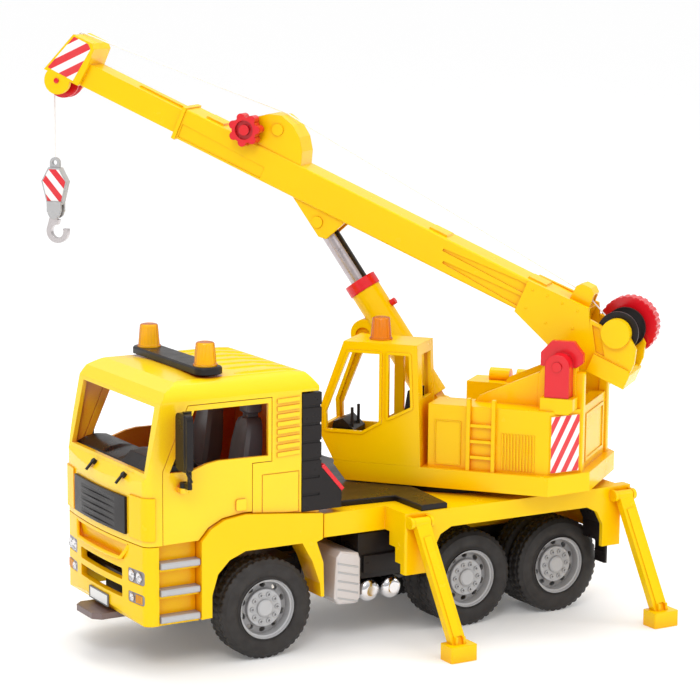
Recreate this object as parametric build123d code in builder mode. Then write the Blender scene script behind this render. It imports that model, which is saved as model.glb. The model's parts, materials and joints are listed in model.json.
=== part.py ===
"""Toy crane truck, 1:16: a three-axle lorry carrying a slewing crane with a telescopic boom.

Frame: -X is the driving direction, -Y is the vehicle's left side, +Z is up. Millimetres.
The pieces are drawn with the origin on the ground under the front axle, on the centre plane.
Before they are written they all shift so that the origin is the bottom centre of the whole box.
The crane is built at its rest pose: slewed, boom raised and partly extended, hook hanging.
"""
import os
from math import cos, radians, sin

from build123d import *

os.makedirs("parts", exist_ok=True)

# ---------------------------------------------------------------- driving dimensions
BOX_CENTRE = Vector(115.336, 68.649, 0)   # bottom centre of the box round the whole model
RUNNING = 0.06            # radial clearance of every shaft that turns in a hole
WALL = 3.0                # moulded plastic wall

TYRE_RADIUS = 40.0
RIM_RADIUS = 24.0
WHEEL_FACE_Y = 75.0       # outer face of every wheel
FRONT_TYRE_WIDTH = 25.0
REAR_TYRE_WIDTH = 44.0
FRONT_AXLE_X = 0.0
REAR_AXLES_X = (188.0, 277.0)
AXLE_ROD_RADIUS = 2.5

RAIL_Y = 16.0             # centre of each chassis rail
RAIL_WIDTH = 8.0
RAIL_BOTTOM = 32.0
RAIL_TOP = 66.0
CHASSIS_FRONT_X = -94.0
DECK_REAR_X = 318.0

CAB_HALF = 73.0
CAB_FRONT_X = -108.5
CAB_REAR_X = 46.0
CAB_BOTTOM = 101.4
CAB_ROOF = 226.5

DECK_TOP = 110.0
DECK_HALF = 104.0
DECK_FRONT_X = 107.0
NECK_FRONT_X = 51.0       # narrow part of the deck between cab and outriggers
COVER_TOP = 114.6         # black turntable cover on the deck

SLEW_X = 218.0            # vertical slewing axis
CRANE_SLEW = -50.0        # degrees from straight ahead
BASE_BOTTOM = 115.2
BASE_TOP = 131.0
WALL_TOP = 183.0
SPIGOT_RADIUS = 30.0

PIVOT_BACK = 105.0        # boom pivot, behind the slewing axis and above the ground
PIVOT_Z = 222.0
PIVOT_PIN_RADIUS = 3.0
BOOM_RAISE = 23.1         # degrees above horizontal
BOOM_HALF = 15.0
BOOM_LOW, BOOM_HIGH = 12.0, 39.0
BOOM_FRONT = 391.0
INNER_HALF = 11.6
INNER_LOW, INNER_HIGH = 15.2, 35.8
INNER_REAR, INNER_FRONT = 236.0, 492.0
HEAD_AXLE = (507.0, 11.0)
CLEVIS_PIN = (243.8, 1.4)
WINCH_AXLE = (-26.4, 32.7)
KNOB_AXLE = (329.0, 48.0)

CYLINDER_FOOT = (-12.0, 166.0)    # behind the slewing axis, above the ground
BARREL_RADIUS = 13.0
BARREL_LENGTH = 117.0
ROD_RADIUS = 7.5
FOOT_PIN_RADIUS = 3.0
CLEVIS_PIN_RADIUS = 2.0
EYE_RADIUS = 7.8
EYE_HOLE_RADIUS = 5.7     # wide on purpose: the boom swings round inside it

LEG_X = (118.0, 316.0)
LEG_HINGE_Y = 109.0
LEG_HINGE_Z = 103.0
FOOT_Y = 148.0
FOOT_SHIFT = 12.0         # the foot stands this far behind its hinge
LEG_PIN_RADIUS = 1.5

# ---------------------------------------------------------------- frames of the crane
BACK = Vector(cos(radians(CRANE_SLEW)), sin(radians(CRANE_SLEW)), 0)
RIGHT = Vector(-BACK.Y, BACK.X, 0)
UP = Vector(0, 0, 1)
SLEW = Vector(SLEW_X, 0, 0)
BOOM_PIVOT = SLEW + BACK * PIVOT_BACK + UP * PIVOT_Z
BOOM_DIR = BACK * -cos(radians(BOOM_RAISE)) + UP * sin(radians(BOOM_RAISE))
BOOM_UP = BACK * sin(radians(BOOM_RAISE)) + UP * cos(radians(BOOM_RAISE))


def crane_top(z):
    """Horizontal plane of the crane: x backwards, y to its right."""
    return Plane(origin=SLEW + UP * z, x_dir=BACK, z_dir=UP)


def crane_side(y):
    """Upright plane along the crane: x backwards, y up, facing its left side."""
    return Plane(origin=SLEW + RIGHT * y, x_dir=BACK, z_dir=-RIGHT)


def crane_rear(x):
    """Upright plane across the crane: x to its right, y up, facing backwards."""
    return Plane(origin=SLEW + BACK * x, x_dir=RIGHT, z_dir=BACK)


def boom_side(y):
    """Plane along the boom: x forwards along it, y square to it, facing its right side."""
    return Plane(origin=BOOM_PIVOT + RIGHT * y, x_dir=BOOM_DIR, z_dir=RIGHT)


def boom_across(along):
    """Plane square to the boom: x to its left, y up."""
    return Plane(origin=boom_point(along, 0), x_dir=-RIGHT, z_dir=BOOM_DIR)


def boom_point(along, up, y=0.0):
    return BOOM_PIVOT + BOOM_DIR * along + BOOM_UP * up + RIGHT * y


FOOT = SLEW + BACK * CYLINDER_FOOT[0] + UP * CYLINDER_FOOT[1]
CLEVIS = boom_point(*CLEVIS_PIN)
LIFT_DIR = (CLEVIS - FOOT).normalized()
LIFT_LENGTH = (CLEVIS - FOOT).length
LIFT_BACK = RIGHT.cross(LIFT_DIR)


def lift_across(along):
    """Plane square to the lift cylinder: x to the crane's right."""
    return Plane(origin=FOOT + LIFT_DIR * along, x_dir=RIGHT, z_dir=LIFT_DIR)


def lift_side(y):
    """Plane along the lift cylinder: x along it, facing the crane's right side."""
    return Plane(origin=FOOT + RIGHT * y, x_dir=LIFT_DIR, z_dir=RIGHT)


def outline(points, mode=Mode.ADD):
    """Closed polygon through the given points of the current sketch."""
    Polygon(*points, align=None, mode=mode)


pieces = {}

# ---------------------------------------------------------------- wheels and axles


def wheel_plane(axle_x):
    return Plane(origin=(axle_x, 0, TYRE_RADIUS), x_dir=(0, 1, 0), z_dir=(1, 0, 0))


def wheel_axis(axle_x):
    return Axis((axle_x, 0, TYRE_RADIUS), (0, 1, 0))


def tyre_pair(axle_x, width):
    """Two tyres, left and right; a wide one has the groove between twin tyres."""
    out, inn = WHEEL_FACE_Y, WHEEL_FACE_Y - width
    mid = (out + inn) / 2
    section = [(-out + 2.0, RIM_RADIUS), (-out, RIM_RADIUS + 6), (-out, TYRE_RADIUS - 4)]
    section += [(-out + 3, TYRE_RADIUS)]
    if width > FRONT_TYRE_WIDTH:
        section += [(-mid - 3.5, TYRE_RADIUS), (-mid - 1.5, TYRE_RADIUS - 3)]
        section += [(-mid - 1.5, RIM_RADIUS + 4), (-mid + 1.5, RIM_RADIUS + 4)]
        section += [(-mid + 1.5, TYRE_RADIUS - 3), (-mid + 3.5, TYRE_RADIUS)]
    section += [(-inn - 3, TYRE_RADIUS), (-inn, TYRE_RADIUS - 4), (-inn, RIM_RADIUS)]
    with BuildPart() as tyres:
        with BuildSketch(wheel_plane(axle_x)):
            outline(section)
        revolve(axis=wheel_axis(axle_x))
        mirror(about=Plane.XZ)
    return tyres


def rim_pair(axle_x, width):
    """Two wheels: a barrel, a cone with ten hand holes, a flat disc with ten nuts and a hub cap."""
    out, inn = WHEEL_FACE_Y, WHEEL_FACE_Y - width
    disc_y, cone_y, disc_back, cap_y = out - 5.5, out - 8.5, out - 13.0, out - 3.0
    section = [(-out + 1.0, RIM_RADIUS), (-inn, RIM_RADIUS), (-inn, RIM_RADIUS - 2.5)]
    section += [(-disc_back, RIM_RADIUS - 2.5), (-disc_back, AXLE_ROD_RADIUS)]
    section += [(-out + 5, AXLE_ROD_RADIUS), (-out + 5, 0), (-cap_y, 0), (-cap_y, 5.6), (-cap_y + 0.9, 6.9)]
    section += [(-disc_y, 7.1), (-disc_y, 14.6), (-disc_y + 0.6, 15.2), (-cone_y + 0.4, 15.3)]
    section += [(-cone_y + 1.6, 20.9), (-out + 3.2, 21.4), (-out + 2.8, 22.6), (-out + 1.0, 22.9)]
    nut_face = Plane(origin=(axle_x, -disc_y, TYRE_RADIUS), x_dir=(1, 0, 0), z_dir=(0, -1, 0))
    with BuildPart() as rims:
        with BuildSketch(wheel_plane(axle_x)):
            outline(section)
        revolve(axis=wheel_axis(axle_x))
        with BuildSketch(nut_face):
            with PolarLocations(11.0, 10):
                Circle(1.9)
                Circle(1.0, mode=Mode.SUBTRACT)
        extrude(amount=1.0)
        with BuildSketch(nut_face):
            with PolarLocations(18.1, 10, start_angle=18):
                Ellipse(2.1, 2.6)
        extrude(amount=-8, mode=Mode.SUBTRACT)
        mirror(about=Plane.XZ)
    return rims


def axle_rod(axle_x):
    """Steel rod through both hubs."""
    with BuildPart() as rod:
        with BuildSketch(Plane(origin=(axle_x, 0, TYRE_RADIUS), x_dir=(1, 0, 0), z_dir=(0, -1, 0))):
            Circle(AXLE_ROD_RADIUS)
        extrude(amount=WHEEL_FACE_Y - 5.2, both=True)
        chamfer(rod.edges().filter_by(GeomType.CIRCLE), 0.4)
    return rod


WHEELSETS = (
    ("front", FRONT_AXLE_X, FRONT_TYRE_WIDTH),
    ("middle", REAR_AXLES_X[0], REAR_TYRE_WIDTH),
    ("rear", REAR_AXLES_X[1], REAR_TYRE_WIDTH),
)
for set_name, set_x, set_width in WHEELSETS:
    pieces[f"{set_name}_tyres"] = tyre_pair(set_x, set_width)
    pieces[f"{set_name}_rims"] = rim_pair(set_x, set_width)
    pieces[f"{set_name}_axle_rod"] = axle_rod(set_x)

# ---------------------------------------------------------------- chassis
CROSS_MEMBERS_X = (-90.0, 70.0, 150.0, 232.0, 308.0)

with BuildPart() as chassis_frame:
    with BuildSketch(Plane.XZ.offset(-RAIL_Y - RAIL_WIDTH / 2)):
        outline([
            (CHASSIS_FRONT_X, 46), (-30, 46), (-16, RAIL_BOTTOM), (16, RAIL_BOTTOM), (30, 44), (165, 44),
            (176, RAIL_BOTTOM), (290, RAIL_BOTTOM), (DECK_REAR_X - 8, 50), (DECK_REAR_X - 8, RAIL_TOP),
            (CHASSIS_FRONT_X, RAIL_TOP),
        ])
    extrude(amount=RAIL_WIDTH)
    mirror(about=Plane.XZ)
    with BuildSketch(Plane.XY.offset(RAIL_TOP)):
        for member_x in CROSS_MEMBERS_X:
            with Locations((member_x, 0)):
                Rectangle(8, 2 * RAIL_Y)
    extrude(amount=-16)
    # cross beam that carries the bumper and the front step frames
    with BuildSketch(Plane.XY.offset(RAIL_TOP)):
        with Locations((-88, 0)):
            Rectangle(9, 126)
    extrude(amount=-12)
    # floor under the engine
    with BuildSketch(Plane.XY.offset(RAIL_TOP)):
        with Locations((-22, 0)):
            Rectangle(128, 84)
    extrude(amount=3)
    for bearing_x in (FRONT_AXLE_X, *REAR_AXLES_X):
        with BuildSketch(Plane(origin=(bearing_x, 0, TYRE_RADIUS), x_dir=(1, 0, 0), z_dir=(0, -1, 0))):
            Circle(AXLE_ROD_RADIUS + RUNNING)
        extrude(amount=40, both=True, mode=Mode.SUBTRACT)
    # spigot well of the turntable
    with BuildSketch(Plane.XY.offset(RAIL_TOP)):
        with Locations((SLEW_X, 0)):
            Circle(5)
    extrude(amount=-20, mode=Mode.SUBTRACT)
pieces["chassis_frame"] = chassis_frame

ENGINE_TOP = 98.0
with BuildPart() as engine_block:
    with BuildSketch(Plane.XY.offset(RAIL_TOP + 3)):
        with Locations((-18, 0)):
            RectangleRounded(76, 40, 4)
    extrude(amount=ENGINE_TOP - RAIL_TOP - 8)
    with BuildSketch(Plane.XY.offset(ENGINE_TOP - 5)):
        with Locations((-18, 0)):
            with GridLocations(12, 0, 6, 1):
                RectangleRounded(9, 30, 2)
    extrude(amount=5)
    with BuildSketch(Plane.YZ.offset(-56)):
        with Locations((0, 84)):
            Circle(11)
    extrude(amount=-8)
pieces["engine_block"] = engine_block

ARCH_FRONT_X, ARCH_REAR_X, ARCH_TOP = 134.0, 299.0, 95.0
ARCH_FOOT = 64.0


def rear_arch(grow):
    """Opening over the two rear axles, grown outwards; open at the bottom."""
    front, rear, top, cut = ARCH_FRONT_X - grow, ARCH_REAR_X + grow, ARCH_TOP + grow, 13.0
    return [
        (front, ARCH_FOOT - 30), (front, top - cut - 3), (front + cut * 0.45, top - cut * 0.4),
        (front + cut + 3, top), (rear - cut - 3, top), (rear - cut * 0.45, top - cut * 0.4),
        (rear, top - cut - 3), (rear, ARCH_FOOT - 30),
    ]


with BuildPart() as rear_deck:
    # wide box over the rear wheels, open underneath
    with BuildSketch(Plane.XY.offset(DECK_TOP)):
        with Locations(((DECK_FRONT_X + DECK_REAR_X) / 2, 0)):
            RectangleRounded(DECK_REAR_X - DECK_FRONT_X, 2 * DECK_HALF, 2)
    extrude(amount=-50)
    with BuildSketch(Plane.XY.offset(DECK_TOP - 5)):
        with Locations(((DECK_FRONT_X + DECK_REAR_X) / 2, 0)):
            Rectangle(DECK_REAR_X - DECK_FRONT_X - 8, 2 * DECK_HALF - 8)
    extrude(amount=-50, mode=Mode.SUBTRACT)
    # wheel arches in both side skirts
    with BuildSketch(Plane.XZ):
        outline(rear_arch(0))
    extrude(amount=DECK_HALF + 1, both=True, mode=Mode.SUBTRACT)
    # lowest third of the front and rear walls is cut away over the chassis
    with BuildSketch(Plane.YZ.offset(DECK_FRONT_X - 2)):
        outline([(-97, 40), (-97, 68), (-89, 68), (-89, 80), (-80, 80), (-80, 91),
                 (80, 91), (80, 80), (89, 80), (89, 68), (97, 68), (97, 40)])
    extrude(amount=7, mode=Mode.SUBTRACT)
    with BuildSketch(Plane.YZ.offset(DECK_REAR_X + 2)):
        outline([(-90, 40), (-90, 67), (90, 67), (90, 40)])
    extrude(amount=-7, mode=Mode.SUBTRACT)
    with BuildSketch(Plane.YZ.offset(DECK_REAR_X)):
        with Locations((-76, 77), (76, 77)):
            Rectangle(38, 11)
    extrude(amount=-2, mode=Mode.SUBTRACT)
    # neck between cab and box
    with BuildSketch(Plane.XY.offset(DECK_TOP)):
        with Locations(((NECK_FRONT_X + DECK_FRONT_X + 4) / 2, 0)):
            Rectangle(DECK_FRONT_X + 4 - NECK_FRONT_X, 2 * CAB_HALF)
    extrude(amount=-19)
    with BuildSketch(Plane.XY.offset(DECK_TOP - 4)):
        with Locations(((NECK_FRONT_X + DECK_FRONT_X + 4) / 2, 0)):
            Rectangle(DECK_FRONT_X - 4 - NECK_FRONT_X, 2 * CAB_HALF - 7)
    extrude(amount=-30, mode=Mode.SUBTRACT)
    # two long webs that stand on the chassis rails
    with BuildSketch(Plane.XY.offset(RAIL_TOP)):
        with Locations((184, RAIL_Y), (184, -RAIL_Y)):
            Rectangle(252, 4)
    extrude(amount=DECK_TOP - RAIL_TOP - 3)
    # round seat of the turntable
    with BuildSketch(Plane.XY.offset(DECK_TOP)):
        with Locations((SLEW_X, 0)):
            Circle(SPIGOT_RADIUS + RUNNING)
    extrude(amount=-12, mode=Mode.SUBTRACT)
    with BuildSketch(Plane.XY.offset(DECK_TOP - 5)):
        with Locations((SLEW_X, 0)):
            Circle(SPIGOT_RADIUS + 6)
    extrude(amount=-10, mode=Mode.SUBTRACT)
    # rear corner blocks and hinge ears of the four outriggers
    with BuildSketch(Plane.XY.offset(DECK_TOP)):
        with Locations((DECK_REAR_X + 3, DECK_HALF - 5), (DECK_REAR_X + 3, -DECK_HALF + 5)):
            Rectangle(11, 10)
    extrude(amount=-12)
    for leg_x in LEG_X:
        for ear_x in (leg_x - 10.5, leg_x + 7.5):
            with BuildSketch(Plane.YZ.offset(ear_x)):
                with Locations((-LEG_HINGE_Y, LEG_HINGE_Z)):
                    Circle(4.5)
                with Locations((-(DECK_HALF + LEG_HINGE_Y) / 2, LEG_HINGE_Z)):
                    Rectangle(LEG_HINGE_Y - DECK_HALF + 1, 9)
                mirror(about=Plane.YZ)
            extrude(amount=3)
        with BuildSketch(Plane.YZ.offset(leg_x - 12)):
            with Locations((-LEG_HINGE_Y, LEG_HINGE_Z), (LEG_HINGE_Y, LEG_HINGE_Z)):
                Circle(LEG_PIN_RADIUS + RUNNING)
        extrude(amount=24, mode=Mode.SUBTRACT)
pieces["rear_deck"] = rear_deck

with BuildPart() as arch_liners:
    with BuildSketch(Plane.XZ.offset(DECK_HALF - 4.2)):
        outline(rear_arch(2.0))
        outline(rear_arch(0.0), Mode.SUBTRACT)
        with Locations(((ARCH_FRONT_X + ARCH_REAR_X) / 2, ARCH_FOOT - 20)):
            Rectangle(200, 40, mode=Mode.SUBTRACT)
    extrude(amount=-23)
    mirror(about=Plane.XZ)
pieces["arch_liners"] = arch_liners

with BuildPart() as turntable_cover:
    with BuildSketch(Plane.XY.offset(DECK_TOP)):
        outline([(72, -58), (123, -62), (123, -102), (147, -102), (152, -52),
                 (152, 52), (147, 102), (123, 102), (123, 62), (72, 58)])
        with Locations((SLEW_X, 0)):
            Circle(72)
            Circle(SPIGOT_RADIUS + RUNNING, mode=Mode.SUBTRACT)
    extrude(amount=COVER_TOP - DECK_TOP)
    chamfer(turntable_cover.faces().sort_by(Axis.Z)[-1].outer_wire().edges(), 0.8)
pieces["turntable_cover"] = turntable_cover

with BuildPart() as battery_box:
    with BuildSketch(Plane.XZ.offset(70)):
        outline([(84, 56), (84, 89), (128, 89), (128, 56), (124, 52), (88, 52)])
    extrude(amount=-(70 - RAIL_Y - RAIL_WIDTH / 2))
    with BuildSketch(Plane.XZ.offset(70)):
        with Locations((106, 64)):
            Rectangle(36, 14)
    extrude(amount=2.5)
pieces["battery_box"] = battery_box

AIR_TANK_RADIUS = 9.5
AIR_TANKS_X = (94.6, 115.4)
with BuildPart() as air_tanks:
    for tank_x in AIR_TANKS_X:
        with BuildSketch(Plane.XZ.offset(74)):
            with Locations((tank_x, 42)):
                Circle(AIR_TANK_RADIUS)
        extrude(amount=-48)
    fillet(air_tanks.faces().group_by(Axis.Y)[0].edges(), 6)
    # bridge that joins and hangs both tanks
    with BuildSketch(Plane.XY.offset(43)):
        with Locations((105, -30)):
            Rectangle(14, 7)
    extrude(amount=9)
pieces["air_tanks"] = air_tanks

with BuildPart() as step_tank:
    with BuildSketch(Plane.XZ.offset(75)):
        outline([(60, 40), (62, 73), (66, 78), (82, 75), (84, 70), (84, 38), (80, 34), (64, 35)])
    extrude(amount=-(75 - RAIL_Y - RAIL_WIDTH / 2))
    chamfer(step_tank.faces().sort_by(Axis.Y)[0].edges(), 1.5)
pieces["step_tank"] = step_tank

with BuildPart() as fuel_tank:
    with BuildSketch(Plane.XZ.offset(-RAIL_Y - RAIL_WIDTH / 2)):
        with Locations((94, 63)):
            RectangleRounded(66, 48, 9)
    extrude(amount=-(70 - RAIL_Y - RAIL_WIDTH / 2))
    with BuildSketch(Plane.XY.offset(87)):
        with Locations((80, 58)):
            Circle(5)
    extrude(amount=3)
pieces["fuel_tank"] = fuel_tank

# ---------------------------------------------------------------- nose under the cab


def nose_plan(inset):
    """Plan of the cab's front, pulled inwards by inset: bowed front, rounded corners."""
    front, corner, side = CAB_FRONT_X + inset, 8.0 - inset * 0.5, CAB_HALF - inset
    with BuildLine() as edge:
        ThreePointArc((front + 4.5, -side + corner), (front, 0), (front + 4.5, side - corner))
        RadiusArc((front + 4.5, side - corner), (front + 4.5 + corner, side), corner)
        Line((front + 4.5 + corner, side), (CAB_REAR_X, side))
        Line((CAB_REAR_X, side), (CAB_REAR_X, -side))
        Line((CAB_REAR_X, -side), (front + 4.5 + corner, -side))
        RadiusArc((front + 4.5 + corner, -side), (front + 4.5, -side + corner), corner)
    make_face(edge.edges())


BUMPER_BOTTOM = 39.0
BUMPER_TOP = CAB_BOTTOM - 0.6
BUMPER_BACK = -92.5
LAMP_Y, LAMP_WIDTH, LAMP_GAP = 58.0, 22.0, 0.4
HEADLAMP_Z, HEADLAMP_HEIGHT = 76.0, 11.0
FOG_LAMP_Z, FOG_LAMP_HEIGHT = 59.0, 8.5
STEP_FRONT_X, STEP_REAR_X = -92.0, -58.4
STEP_TOPS = (46.0, 67.0, 88.0)

with BuildPart() as bumper:
    with BuildSketch(Plane.XY.offset(BUMPER_BOTTOM)):
        nose_plan(0)
    extrude(amount=BUMPER_TOP - BUMPER_BOTTOM)
    with BuildSketch(Plane.XY.offset(BUMPER_BOTTOM)):
        nose_plan(5)
    extrude(amount=BUMPER_TOP - BUMPER_BOTTOM - WALL, mode=Mode.SUBTRACT)
    with BuildSketch(Plane.XY.offset(BUMPER_BOTTOM)):
        with Locations((BUMPER_BACK + 100, 0)):
            Rectangle(200, 200)
    extrude(amount=BUMPER_TOP - BUMPER_BOTTOM, mode=Mode.SUBTRACT)
    # two air slots, the grab recess under the grille and the lamp pockets
    with BuildSketch(Plane.YZ.offset(CAB_FRONT_X - 2)):
        with Locations((0, 74), (0, 60)):
            RectangleRounded(76, 9, 1.5)
    extrude(amount=9, mode=Mode.SUBTRACT)
    with BuildSketch(Plane.YZ.offset(CAB_FRONT_X - 2)):
        outline([(-47, 98), (-40, 86), (40, 86), (47, 98)])
    extrude(amount=6.2, mode=Mode.SUBTRACT)
    with BuildSketch(Plane.YZ.offset(CAB_FRONT_X - 2)):
        with Locations((-LAMP_Y, HEADLAMP_Z), (LAMP_Y, HEADLAMP_Z)):
            RectangleRounded(LAMP_WIDTH, HEADLAMP_HEIGHT, 2)
        with Locations((-LAMP_Y, FOG_LAMP_Z), (LAMP_Y, FOG_LAMP_Z)):
            RectangleRounded(LAMP_WIDTH, FOG_LAMP_HEIGHT, 2)
    extrude(amount=9, mode=Mode.SUBTRACT)
    # chamfered lower lip
    with BuildSketch(Plane.XZ):
        outline([(CAB_FRONT_X - 5, BUMPER_BOTTOM - 1), (CAB_FRONT_X - 5, 52), (CAB_FRONT_X + 6, BUMPER_BOTTOM - 1)])
    extrude(amount=100, both=True, mode=Mode.SUBTRACT)
    # frames behind it that carry the entry steps
    with BuildSketch(Plane.XZ.offset(CAB_HALF - 7)):
        outline([(BUMPER_BACK - 2, 40), (BUMPER_BACK - 2, BUMPER_TOP), (STEP_REAR_X, BUMPER_TOP), (STEP_REAR_X, 40)])
    extrude(amount=-3)
    mirror(about=Plane.XZ)
    for step_top in STEP_TOPS:
        with BuildSketch(Plane.XY.offset(step_top - 7)):
            with Locations(((STEP_FRONT_X + STEP_REAR_X) / 2, -CAB_HALF + 4)):
                Rectangle(STEP_REAR_X - STEP_FRONT_X, 6.4)
            with Locations(((STEP_FRONT_X + STEP_REAR_X) / 2, CAB_HALF - 4)):
                Rectangle(STEP_REAR_X - STEP_FRONT_X, 6.4)
        extrude(amount=2)
pieces["bumper"] = bumper

with BuildPart() as headlamps:
    with BuildSketch(Plane.YZ.offset(CAB_FRONT_X + 7)):
        with Locations((-LAMP_Y, HEADLAMP_Z), (LAMP_Y, HEADLAMP_Z)):
            RectangleRounded(LAMP_WIDTH - LAMP_GAP, HEADLAMP_HEIGHT - LAMP_GAP, 1.8)
        with Locations((-LAMP_Y, FOG_LAMP_Z), (LAMP_Y, FOG_LAMP_Z)):
            RectangleRounded(LAMP_WIDTH - LAMP_GAP, FOG_LAMP_HEIGHT - LAMP_GAP, 1.8)
    extrude(amount=-8)
    with BuildSketch(Plane.XY.offset(BUMPER_BOTTOM)):
        nose_plan(0.2)
    extrude(amount=BUMPER_TOP - BUMPER_BOTTOM, mode=Mode.INTERSECT)
pieces["headlamps"] = headlamps

with BuildPart() as tow_step:
    with BuildSketch(Plane.XY.offset(34)):
        outline([(-122, -14), (-122, 14), (-116, 20), (-92, 20), (-88, 10), (-88, -10), (-92, -20), (-116, -20)])
    extrude(amount=5)
    with BuildSketch(Plane.XY.offset(39)):
        with Locations((-91, 0)):
            Rectangle(5, 18)
    extrude(amount=RAIL_TOP - 16 - 39)
pieces["tow_step"] = tow_step

FENDER_INNER_Y = 51.0
FENDER_OUTER_Y = 76.0
FENDER_TOP = [(-58, 101), (-50, 110), (-38, 116), (-20, 118.5), (48.5, 111.5)]


def fender_arch():
    """Opening over the front wheel."""
    return [(-49, 30), (-49, 58), (-44, 74), (-34, 84), (-20, 89.5), (30, 89.5), (39, 74), (46, 55), (48, 30)]


with BuildPart() as front_fenders:
    with BuildSketch(Plane.XZ.offset(FENDER_OUTER_Y)):
        outline([(-58, 40), *FENDER_TOP, (48.5, 91), (43, 89), (49, 72), (50, 44), (40, 44)])
    extrude(amount=FENDER_INNER_Y - FENDER_OUTER_Y)
    with BuildSketch(Plane.XZ.offset(FENDER_OUTER_Y)):
        outline(fender_arch())
    extrude(amount=FENDER_INNER_Y - FENDER_OUTER_Y, mode=Mode.SUBTRACT)
    mirror(about=Plane.XZ)
pieces["front_fenders"] = front_fenders

with BuildPart() as step_treads:
    for step_top in STEP_TOPS:
        with BuildSketch(Plane.XY.offset(step_top - 5)):
            with Locations(((STEP_FRONT_X + STEP_REAR_X) / 2, -CAB_HALF + 2.5)):
                Rectangle(STEP_REAR_X - STEP_FRONT_X - 0.8, 9)
        extrude(amount=5)
    chamfer(step_treads.edges().filter_by(Axis.X).group_by(Axis.Y)[0], 0.8)
    mirror(about=Plane.XZ)
pieces["step_treads"] = step_treads

# ---------------------------------------------------------------- tilting cab
CAB_SIDE = [(-116, CAB_BOTTOM), (-116, 139), (-102, 154), (-91, 210), (-86, 218), (-74, 224), (-50, CAB_ROOF),
            (15, CAB_ROOF - 1), (38, 223), (CAB_REAR_X, 213), (CAB_REAR_X, CAB_BOTTOM)]
ROOF_SHOULDER_Z = 211.0


def cab_front(bottom, top):
    """Cab seen from the front: upright sides and a rounded roof."""
    half, shoulder = CAB_HALF, ROOF_SHOULDER_Z
    with BuildLine() as edge:
        Polyline((half, shoulder), (half, bottom), (-half, bottom), (-half, shoulder))
        ThreePointArc((-half, shoulder), (-half + 5, top - 6), (-half + 17, top - 2))
        ThreePointArc((-half + 17, top - 2), (0, top), (half - 17, top - 2))
        ThreePointArc((half - 17, top - 2), (half - 5, top - 6), (half, shoulder))
    make_face(edge.edges())


def fender_clearance(gap):
    """The front fenders' upper outline, raised by gap, as a block below the cab's skin."""
    points = [(x - gap, z + gap) for x, z in FENDER_TOP]
    return [(points[0][0], 90), *points, (60, points[-1][1]), (60, 90)]


with BuildPart() as cab_shell:
    with BuildSketch(Plane.XZ):
        outline(CAB_SIDE)
    extrude(amount=CAB_HALF, both=True)
    with BuildSketch(Plane.XY.offset(CAB_BOTTOM)):
        nose_plan(0)
    extrude(amount=140, mode=Mode.INTERSECT)
    with BuildSketch(Plane.YZ.offset(CAB_FRONT_X - 10)):
        cab_front(CAB_BOTTOM, CAB_ROOF)
    extrude(amount=180, mode=Mode.INTERSECT)
    # inside of the shell: a tall room and a ceiling pocket
    with BuildSketch(Plane.XZ):
        outline([(-100, 104.4), (-100, 139), (-98, 154), (-88, 208), (43, 208), (43, 104.4)])
    extrude(amount=CAB_HALF - WALL, both=True, mode=Mode.SUBTRACT)
    with BuildSketch(Plane.XZ):
        outline([(-88, 207), (-82, 215), (-70, 220), (-48, 222.5), (14, 221.5), (35, 218), (42, 207)])
    extrude(amount=CAB_HALF - 15, both=True, mode=Mode.SUBTRACT)
    # windscreen
    with BuildSketch(Plane.YZ.offset(-120)):
        outline([(-66, 157), (-64, 207), (64, 207), (66, 157)])
    extrude(amount=36, mode=Mode.SUBTRACT)
    # door openings
    with BuildSketch(Plane.XZ):
        outline([(-89.5, 99), (-89.5, 158.5), (-68, 207.5), (4.5, 207.5), (4.5, 157), (-12.5, 157), (-12.5, 99)])
    extrude(amount=CAB_HALF + 2, both=True, mode=Mode.SUBTRACT)
    # the body keeps a strip between the door openings
    with BuildSketch(Plane.XZ):
        outline([(-100, CAB_BOTTOM), (-100, 104.4), (20, 104.4), (20, CAB_BOTTOM)])
    extrude(amount=CAB_HALF - WALL - 0.5, both=True)
    # room for the fenders
    for fender_y in (-FENDER_INNER_Y + 0.5, CAB_HALF + 5):
        with BuildSketch(Plane.XZ.offset(-fender_y)):
            outline(fender_clearance(0.6))
        extrude(amount=CAB_HALF + 5.5 - FENDER_INNER_Y, mode=Mode.SUBTRACT)
    # rear corners step in for the air intakes
    with BuildSketch(Plane.XY.offset(113.9)):
        with Locations((38.4, 68), (38.4, -68)):
            Rectangle(16, 14)
    extrude(amount=95.1, mode=Mode.SUBTRACT)
    with BuildSketch(Plane.XY.offset(113.9)):
        with Locations((36, 62.5), (36, -62.5)):
            Rectangle(20, 3.4)
        with Locations((29, 66.5), (29, -66.5)):
            Rectangle(3, 11)
    extrude(amount=95.6)
    # louvres and a panel groove behind each door
    for side in (-1, 1):
        skin = Plane.XZ.offset(-side * (CAB_HALF - 0.5))
        for louvre_z in range(160, 203, 6):
            with BuildSketch(skin):
                outline([(8.5, louvre_z), (8.5, louvre_z + 3.4), (28.5, louvre_z + 4.2), (28.5, louvre_z + 0.8)])
            extrude(amount=-side * 1.7)
        with BuildSketch(skin):
            with Locations((12, 131)):
                Rectangle(33, 33)
                Rectangle(31.6, 31.6, mode=Mode.SUBTRACT)
        extrude(amount=-side * 2, mode=Mode.SUBTRACT)
pieces["cab_shell"] = cab_shell

GRILLE_HALF = 46.0
GRILLE_BOTTOM, GRILLE_TOP = 107.0, 136.0
NOSE_BOW = 4.5 / (CAB_HALF - 8.0) ** 2      # the nose falls back by this times y squared

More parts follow.
